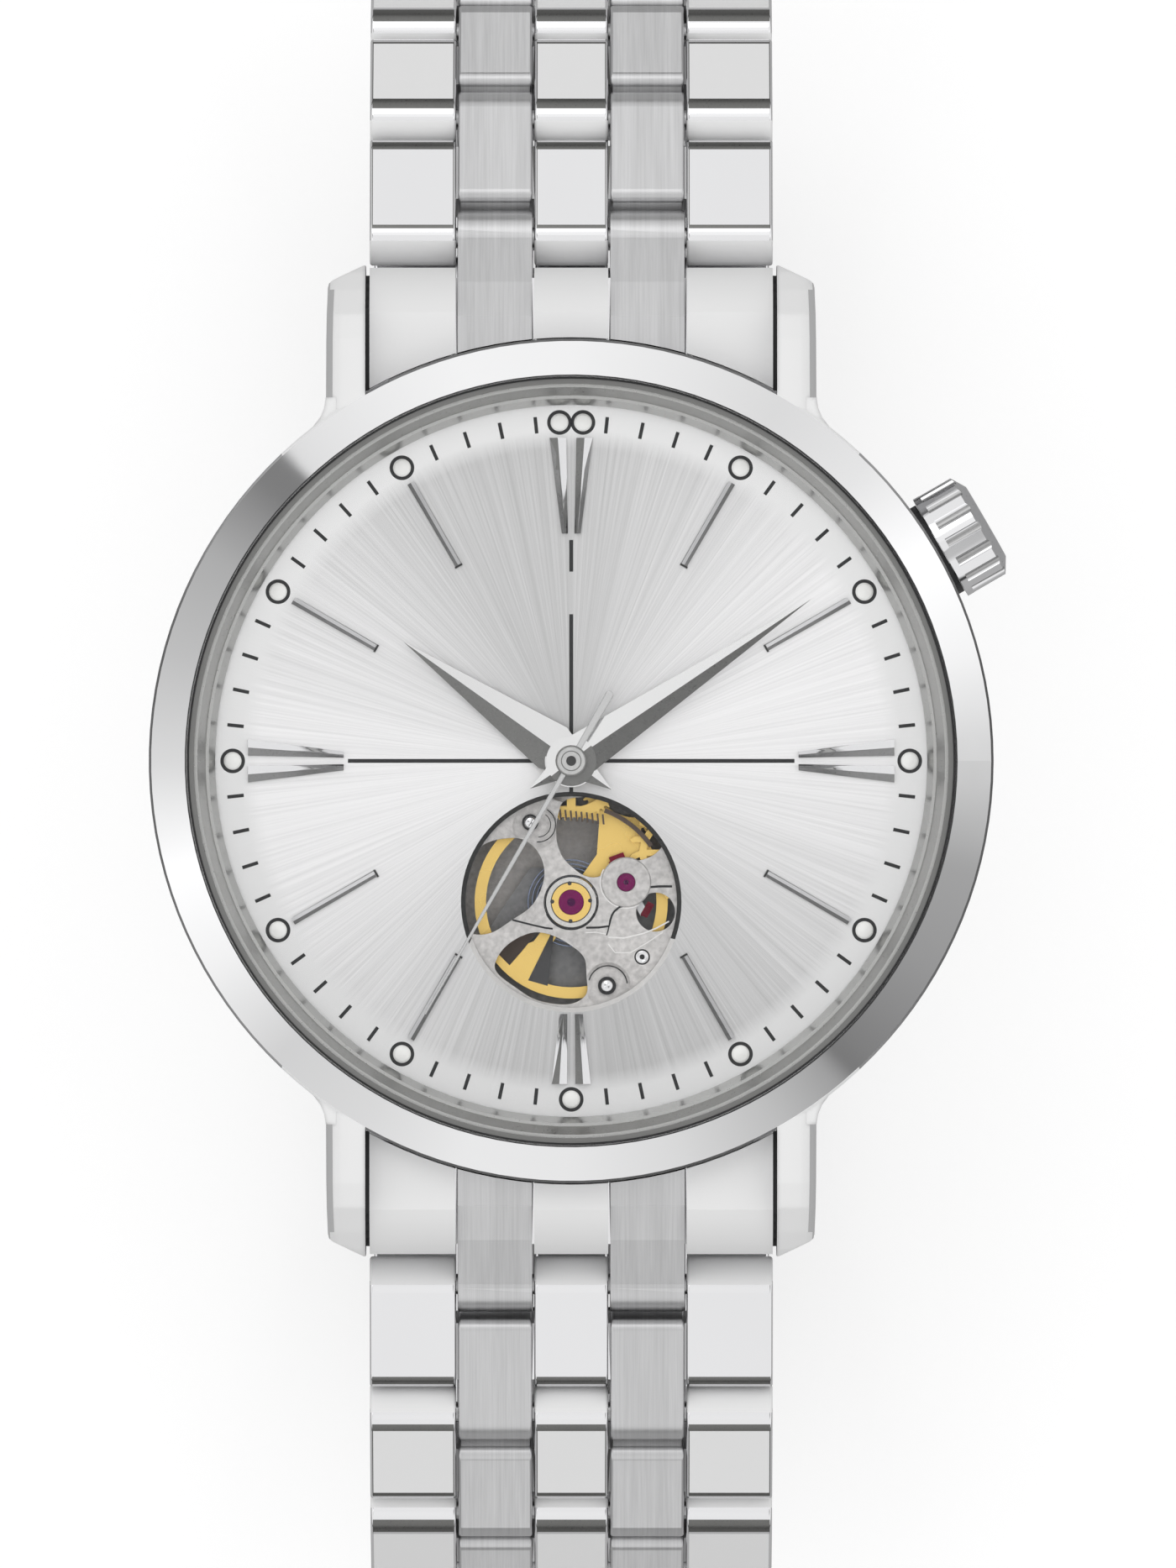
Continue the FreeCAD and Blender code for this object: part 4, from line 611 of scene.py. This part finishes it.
# Width, height over the plate, and points of each dark groove.
GROOVES = (
    (0.05, 0.012, arc(BALANCE, 1.31, 0, 360, 60)),
    (0.12, 0.014, arc((-0.02, -6.9), 1.27, 205, 335)),
    (0.09, 0.012, [(-2.86, -7.73), (-1.87, -7.98), (-1.25, -8.12), (-0.9, -8.16)]),
    (0.1, 0.012, [(0.72, -8.11), (1.35, -8.1), (1.84, -8.03), (1.9, -7.75), (1.98, -7.5), (2.09, -7.32),
                  (2.34, -7.11), (2.72, -7.0)]),
    (0.06, 0.012, [(1.84, -8.03), (1.79, -8.25), (1.72, -8.48)]),
    (0.11, 0.012, [(3.36, -6.68), (3.3, -6.45), (3.42, -6.27), (3.62, -6.19), (3.88, -6.13), (4.3, -6.1),
                   (4.9, -6.1)]),
    (0.06, 0.012, arc((1.78, -10.9), 0.94, 5, 165)),
    (0.05, 0.012, arc(UPPER_DISC, 0.84, -95, 60)),
    (0.04, 0.012, arc(UPPER_DISC, 0.6, -90, 55)),
)
# The same for the painted highlights along the bevelled edges beside them.
EDGE_GLINTS = (
    (0.07, 0.01, [(1.8, -8.57), (2.55, -8.61), (3.46, -8.4), (4.1, -8.15), (4.75, -7.8)]),
    (0.05, 0.01, [(1.8, -8.9), (2.13, -9.32), (2.88, -9.32), (3.72, -8.82), (4.46, -8.32)]),
    (0.05, 0.01, [(0.7, -8.35), (1.2, -8.33), (1.7, -8.42)]),
    (0.05, 0.01, arc(PALLET_JEWEL, 1.26, 150, 300)),
)


def on_plate(profile, centre, steps=40):
    """A turned form whose heights count from the plate's top."""
    return turned([(radius, PLATE_TOP + high) for radius, high in profile], centre, steps)


for name, rows, material in (("bridge_grooves", GROOVES, BLACK), ("bridge_edge_glints", EDGE_GLINTS, HIGHLIGHT_PALE)):
    lines = [line(points, width, PLATE_TOP, PLATE_TOP + high) for width, high, points in rows]
    piece(name, *merged(lines), material, "plate")
disc = on_plate([(0.46, 0), (0.46, 0.05), (1.16, 0.05), (1.22, 0)], PALLET_JEWEL, 64)
piece("pallet_bridge_disc", *disc, PLATE, "plate")
studs = [
    on_plate([(0.0, 0.18), (0.24, 0.18), (0.3, 0.1), (0.3, -0.1)], LOWER_STUD),
    on_plate([(0.0, 0.16), (0.2, 0.16), (0.3, 0.08), (0.3, -0.1)], UPPER_STUD),
    on_plate([(0.12, 0.02), (0.2, 0.1), (0.3, 0.1), (0.34, -0.1)], SMALL_STUD),
]
piece("movement_studs", *merged(studs), POLISH, "satin_steel", smooth=True)
# Painted shade: black discs in the counterbores round the studs.
sinks = [
    on_plate([(0.0, 0.006), (0.44, 0.006), (0.44, -0.15)], LOWER_STUD),
    on_plate([(0.0, 0.006), (0.4, 0.006), (0.4, -0.15)], UPPER_STUD),
    on_plate([(0.0, 0.006), (0.38, 0.006), (0.38, -0.1)], SMALL_STUD),
]
piece("movement_sink_shade", *merged(sinks), BLACK, "plate")
# Painted shade in the shock setting's four notches, and a dark line round its edge.
notches = []
for turn in (5, 95, 178, 268):
    x, y = polar(0.92, turn)
    notches.append(on_plate([(0.0, 0.062), (0.1, 0.062), (0.1, 0)], (x, BALANCE[1] + y), 16))
notches.append(line(arc(BALANCE, 0.975, 0, 360, 60), 0.045, PLATE_TOP - 0.1, PLATE_TOP + 0.02))
piece("setting_notches", *merged(notches), SHADE_DARK, "gold")
holes = [
    on_plate([(0.0, 0.03), (0.2, 0.03), (0.2, 0)], BALANCE, 24),
    on_plate([(0.0, -0.01), (0.1, -0.01), (0.1, -0.1)], PALLET_JEWEL, 20),
]
piece("jewel_holes", *merged(holes), DEEP_RED, "ruby")

# The balance is open between its arm and its rim: dark fields of painted shade turn with it.
LEFT_FIELD = [(-3.6, -9.35), (-3.0, -9.95), (-2.35, -9.2), (-1.75, -8.45), (-2.3, -8.3), (-2.95, -8.55)]
RIGHT_FIELD = [(-2.1, -10.68), (-1.15, -10.95), (-0.85, -8.45), (-1.0, -8.45)]
gap = slab(LEFT_FIELD, BALANCE_TOP, BALANCE_TOP + 0.01)
piece("balance_opening_left", *gap, BROWN, "gold", "balance")
gap = slab(RIGHT_FIELD, BALANCE_TOP, BALANCE_TOP + 0.01)
piece("balance_opening_right", *gap, GREY_SHADOW, "gold", "balance")

# A toothed shade under the plate, where the third wheel passes behind the rim.
SHADE_LOW, SHADE_HIGH = PLATE_TOP - 0.5, PLATE_TOP - 0.3
TEETH = 9
TOOTH_PITCH = (0.26, -0.03)
shades = []
for k in range(TEETH):
    across, down = TOOTH_PITCH[0] * k, TOOTH_PITCH[1] * k
    ends = [(-0.55 + across, -2.35 + down), (-0.5 + across, -2.85 + down)]
    shades.append(line(ends, 0.09, SHADE_LOW, SHADE_HIGH))
shades.append(line(arc(BALANCE, 4.75, 35, 70), 0.22, SHADE_LOW, SHADE_HIGH))
piece("third_wheel_shade", *merged(shades), BROWN, "gold")


# ------------------------------------------------------------ painted shade outlines of the single hour markers: dark rims and inner feet
MARKER = (11.0, 15.5)  # from and to, out from the centre
RIM_BESIDE = 0.17  # the rim of painted shade lies on the marker's lower side
FOOT_HALF = 0.2
feet = []
rims = []
for hour in (1, 2, 4, 5, 7, 8, 10, 11):
    ax, ay = polar(1.0, 90 - 30 * hour)
    side = 1 if ax > 0 else -1
    ux, uy = -ay * side, ax * side
    ends = [(ax * reach + ux * RIM_BESIDE, ay * reach + uy * RIM_BESIDE) for reach in MARKER]
    rims.append(line(ends, 0.045, DIAL_TOP + 0.01, DIAL_TOP + 0.07))
    reach = MARKER[0] - 0.06
    ends = [(ax * reach - ux * FOOT_HALF, ay * reach - uy * FOOT_HALF),
            (ax * reach + ux * FOOT_HALF, ay * reach + uy * FOOT_HALF)]
    feet.append(line(ends, 0.1, DIAL_TOP + 0.01, DIAL_TOP + 0.1))
piece("marker_shade_rims", *merged(rims), MARKER_SHADE, "marker_steel")
piece("marker_foot_shade", *merged(feet), SHADE_DARK, "marker_steel")


# ------------------------------------------------------------ hubs of the hands
HUB_STEPS = 48
HUB_EDGE = 1.22
HUB_HOLE = 0.3
HUB_DARK_AT = 304  # direction of the middle of the hub's half in painted shade, in degrees
minute_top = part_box("minute_hand")[1].z * 1000
hub_light = []
hub_dark = []
half = 180 / HUB_STEPS
for k in range(HUB_STEPS):
    middle = 2 * half * (k + 0.5)
    outline = [polar(HUB_EDGE, middle - half), polar(HUB_EDGE, middle + half),
               polar(HUB_HOLE, middle + half), polar(HUB_HOLE, middle - half)]
    away = abs((middle - HUB_DARK_AT + 180) % 360 - 180)
    half_ring = hub_dark if away < 90 else hub_light
    half_ring.append(slab(outline, minute_top - 0.02, minute_top + 0.01))
piece("minute_hub_light", *merged(hub_light), HAND, "hand_steel", "minute")
# One half of the hub takes painted shade, like the minute hand's shaded sides.
piece("minute_hub_painted_shade", *merged(hub_dark), HAND_SHADE, "hand_steel", "minute")


def on_second_hand(profile, steps=48):
    """A turned form on the hands' axis whose heights count from the seconds hand's top."""
    return turned([(radius, second_top + high) for radius, high in profile], steps=steps)


second_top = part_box("second_hand")[1].z * 1000
cap = on_second_hand([(0.7, -0.05), (0.66, 0.02), (0.27, 0.02), (0.22, -0.01)])
edge = on_second_hand([(0.7, -0.06), (0.76, -0.06), (0.76, -0.12)])
hole = on_second_hand([(0.24, 0.01), (0.0, 0.01)], 32)
ring = on_second_hand([(0.5, 0.024), (0.45, 0.024)])
piece("second_hub_cap", *cap, HUB, "hand_steel", "seconds")
# Painted shade: a dark rim round the cap, a dark groove line and a dark hole.
piece("second_hub_shade_lines", *merged([edge, ring]), HAND_SHADE, "hand_steel", "seconds")
piece("second_hub_hole", *hole, SHADE_DARK, "hand_steel", "seconds")


# ------------------------------------------------------------ painted shade: a dark ring between the crown and the case
SHADE_RING_STEPS = 40
SHADE_RING_FROM = 20.2  # just inside the case's side, along the crown's axis
TUBE_RADIUS = 1.0
crown = nodes["crown"]
crown_inner = min((crown.matrix_world @ v.co).dot(CROWN_AXIS) for v in crown.data.vertices) * 1000
points = []
for along in (SHADE_RING_FROM, crown_inner - 0.03):
    for radius in (TUBE_RADIUS, CROWN_RADIUS - 0.3):
        for k in range(SHADE_RING_STEPS):
            a = 2 * math.pi * k / SHADE_RING_STEPS
            beside = radius * math.cos(a)
            x = CROWN_AXIS.x * along - CROWN_AXIS.y * beside
            y = CROWN_AXIS.y * along + CROWN_AXIS.x * beside
            points.append((x, y, CROWN_MIDDLE + radius * math.sin(a)))
faces = []
rounds = [0, SHADE_RING_STEPS, 3 * SHADE_RING_STEPS, 2 * SHADE_RING_STEPS]  # first points of its four edges, in order
for k in range(SHADE_RING_STEPS):
    m = (k + 1) % SHADE_RING_STEPS
    for a, b in zip(rounds, rounds[1:] + rounds[:1]):
        faces.append([a + k, a + m, b + m, b + k])
# Painted shade in the gap between the crown and the case.
piece("crown_seal", points, faces, BLACK, "seal")


# ------------------------------------------------------------ painted shade in the slots beside the end links, crystal's seam
SLOT_X = 9.9
SLOT_WIDTH = 0.22
SLOT_THICK = 0.45
# From y, to y, depth under the end link's top: the slot's floor follows the fall of the lug.
SLOT_STEPS = (
    (17.97, 22.0, 0.35), (22.0, 22.4, 0.65), (22.4, 22.8, 1.02), (22.8, 23.2, 1.5), (23.2, 23.6, 2.15),
)
end_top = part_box("end_link_12")[1].z * 1000
# Dark strips of painted shade down in the slots.
slots = []
for side in (1, -1):
    for end in (1, -1):
        for start, stop, depth in SLOT_STEPS:
            slot_floor = end_top - depth
            ends = [(side * SLOT_X, end * start), (side * SLOT_X, end * stop)]
            slots.append(line(ends, SLOT_WIDTH, slot_floor - SLOT_THICK, slot_floor))
piece("lug_slot_shade", *merged(slots), BLACK, "satin_steel")

SEAM = (18.55, 18.62)  # inner and outer radius of the line between crystal and bezel
seal_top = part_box("crystal_gasket")[1].z * 1000
seam_top = seal_top + 0.02
seam = turned([(SEAM[0], seal_top), (SEAM[0], seam_top), (SEAM[1], seam_top), (SEAM[1], seal_top)], steps=180)
piece("seal_line", *seam, BLACK, "seal")


# ------------------------------------------------------------ stage
FLOOR_HALF = 3  # metres
mesh = bpy.data.meshes.new("floor")
corners = [(x * FLOOR_HALF, y * FLOOR_HALF, 0) for x, y in ((-1, -1), (1, -1), (1, 1), (-1, 1))]
mesh.from_pydata(corners, [], [[0, 1, 2, 3]])
floor = bpy.data.objects.new("floor", mesh)
bpy.context.scene.collection.objects.link(floor)
floor_material, tree, shader = new_material("floor_pale")
shader.inputs["Roughness"].default_value = 0.8
shader.inputs["Specular IOR Level"].default_value = 0.1
cloud = noise(tree, coordinates(tree), 40.0)
feed(tree, tint(tree, cloud, (0.5, 0.5, 0.5), (0.52, 0.52, 0.52)), shader, "Base Color")
# Seen by the camera the floor is nearly white, with the watch's shadow on it.
seen = add(tree, "ShaderNodeLightPath").outputs["Is Camera Ray"]
shader.inputs["Emission Color"].default_value = (1, 1, 1, 1)
feed(tree, math_node(tree, "MULTIPLY", seen, 0.58), shader, "Emission Strength")
floor.data.materials.append(floor_material)

# Panels of the light tent round the zenith: the azimuth in degrees and how bright the tent is there.
TENT = (
    (-180, 0.9), (-165, 1.33), (-150, 1.15), (-135, 0.82), (-120, 0.9), (-105, 1.06), (-90, 1.03), (-75, 0.9),
    (-60, 0.66), (-50, 0.44), (-48, 0.23), (-45, 0.27), (-30, 0.4), (-15, 0.47), (0, 0.82), (15, 1.18),
    (30, 1.35), (45, 1.02), (60, 0.91), (75, 1.04), (90, 1.14), (105, 1.16), (120, 1.06), (132.5, 0.95),
    (133.5, 0.25), (138, 0.27), (150, 0.54), (165, 0.68), (180, 0.9),
)
TENT_FULL = 1.4  # what white in the table's ramp stands for
world = bpy.data.worlds.new("studio")
bpy.context.scene.world = world
world.use_nodes = True
tree = world.node_tree
background = tree.nodes["Background"]
direction = add(tree, "ShaderNodeTexCoord")
parts = add(tree, "ShaderNodeSeparateXYZ")
feed(tree, direction.outputs["Generated"], parts, 0)
up = parts.outputs["Z"]
azimuth = math_node(tree, "ARCTAN2", parts.outputs["Y"], parts.outputs["X"])
ramp = add(tree, "ShaderNodeValToRGB")
stops = ramp.color_ramp.elements
while len(stops) > 1:
    stops.remove(stops[-1])
for k, (degrees, strength) in enumerate(TENT):
    place = (degrees + 180) / 360
    stop = stops[0] if k == 0 else stops.new(place)
    stop.position = place
    stop.color = (strength / TENT_FULL,) * 3 + (1,)
feed(tree, spread(tree, azimuth, -math.pi, math.pi, 0.0, 1.0), ramp, "Fac")
panels = math_node(tree, "MULTIPLY", ramp.outputs["Color"], TENT_FULL)
# The horizon is dark; the panels lie in a ring round the zenith, and the rest of the tent is even.
horizon = spread(tree, up, 0.1, 0.24, 0.06, 1.0)
near_zenith = spread(tree, up, 0.8, 0.9, 0.0, 1.0)
off_zenith = spread(tree, up, 0.985, 0.975, 0.0, 1.0)
share = math_node(tree, "MULTIPLY", near_zenith, off_zenith)
change = math_node(tree, "MULTIPLY", share, math_node(tree, "SUBTRACT", panels, 1.0))
shade = math_node(tree, "ADD", 1.0, change)
feed(tree, math_node(tree, "MULTIPLY", horizon, shade), background, "Strength")
background.inputs["Color"].default_value = (1, 1, 1, 1)

# One soft key lamp; its place and size are in metres, its energy in watts.
KEY_PLACE = Vector((-0.3, 0.8, 1.1))
KEY_TARGET = Vector((0, 0, 0.045))
lamp = bpy.data.lights.new("key", "AREA")
lamp.shape = "DISK"
lamp.size = 0.8
lamp.energy = 1.2
key = bpy.data.objects.new("key", lamp)
bpy.context.scene.collection.objects.link(key)
key.location = KEY_PLACE
key.rotation_euler = (KEY_TARGET - KEY_PLACE).to_track_quat("-Z", "Y").to_euler()

# The camera looks straight down on the dial from far off; in metres.
FAR = 1.6
POINTS_PER_METRE = 24500  # picture points per metre on the dial
SENSOR = 36  # width of the sensor in millimetres
camera_data = bpy.data.cameras.new("camera")
camera = bpy.data.objects.new("camera", camera_data)
bpy.context.scene.collection.objects.link(camera)
camera_data.sensor_fit = "HORIZONTAL"
camera_data.sensor_width = SENSOR
camera_data.lens = SENSOR * FAR / (1400 / POINTS_PER_METRE)
camera_data.clip_start = 0.01
camera_data.clip_end = 20
camera.location = (20 / POINTS_PER_METRE, -27.5 / POINTS_PER_METRE, DIAL_TOP / 1000 + FAR)
bpy.context.scene.camera = camera
bpy.context.scene.view_settings.view_transform = "Standard"
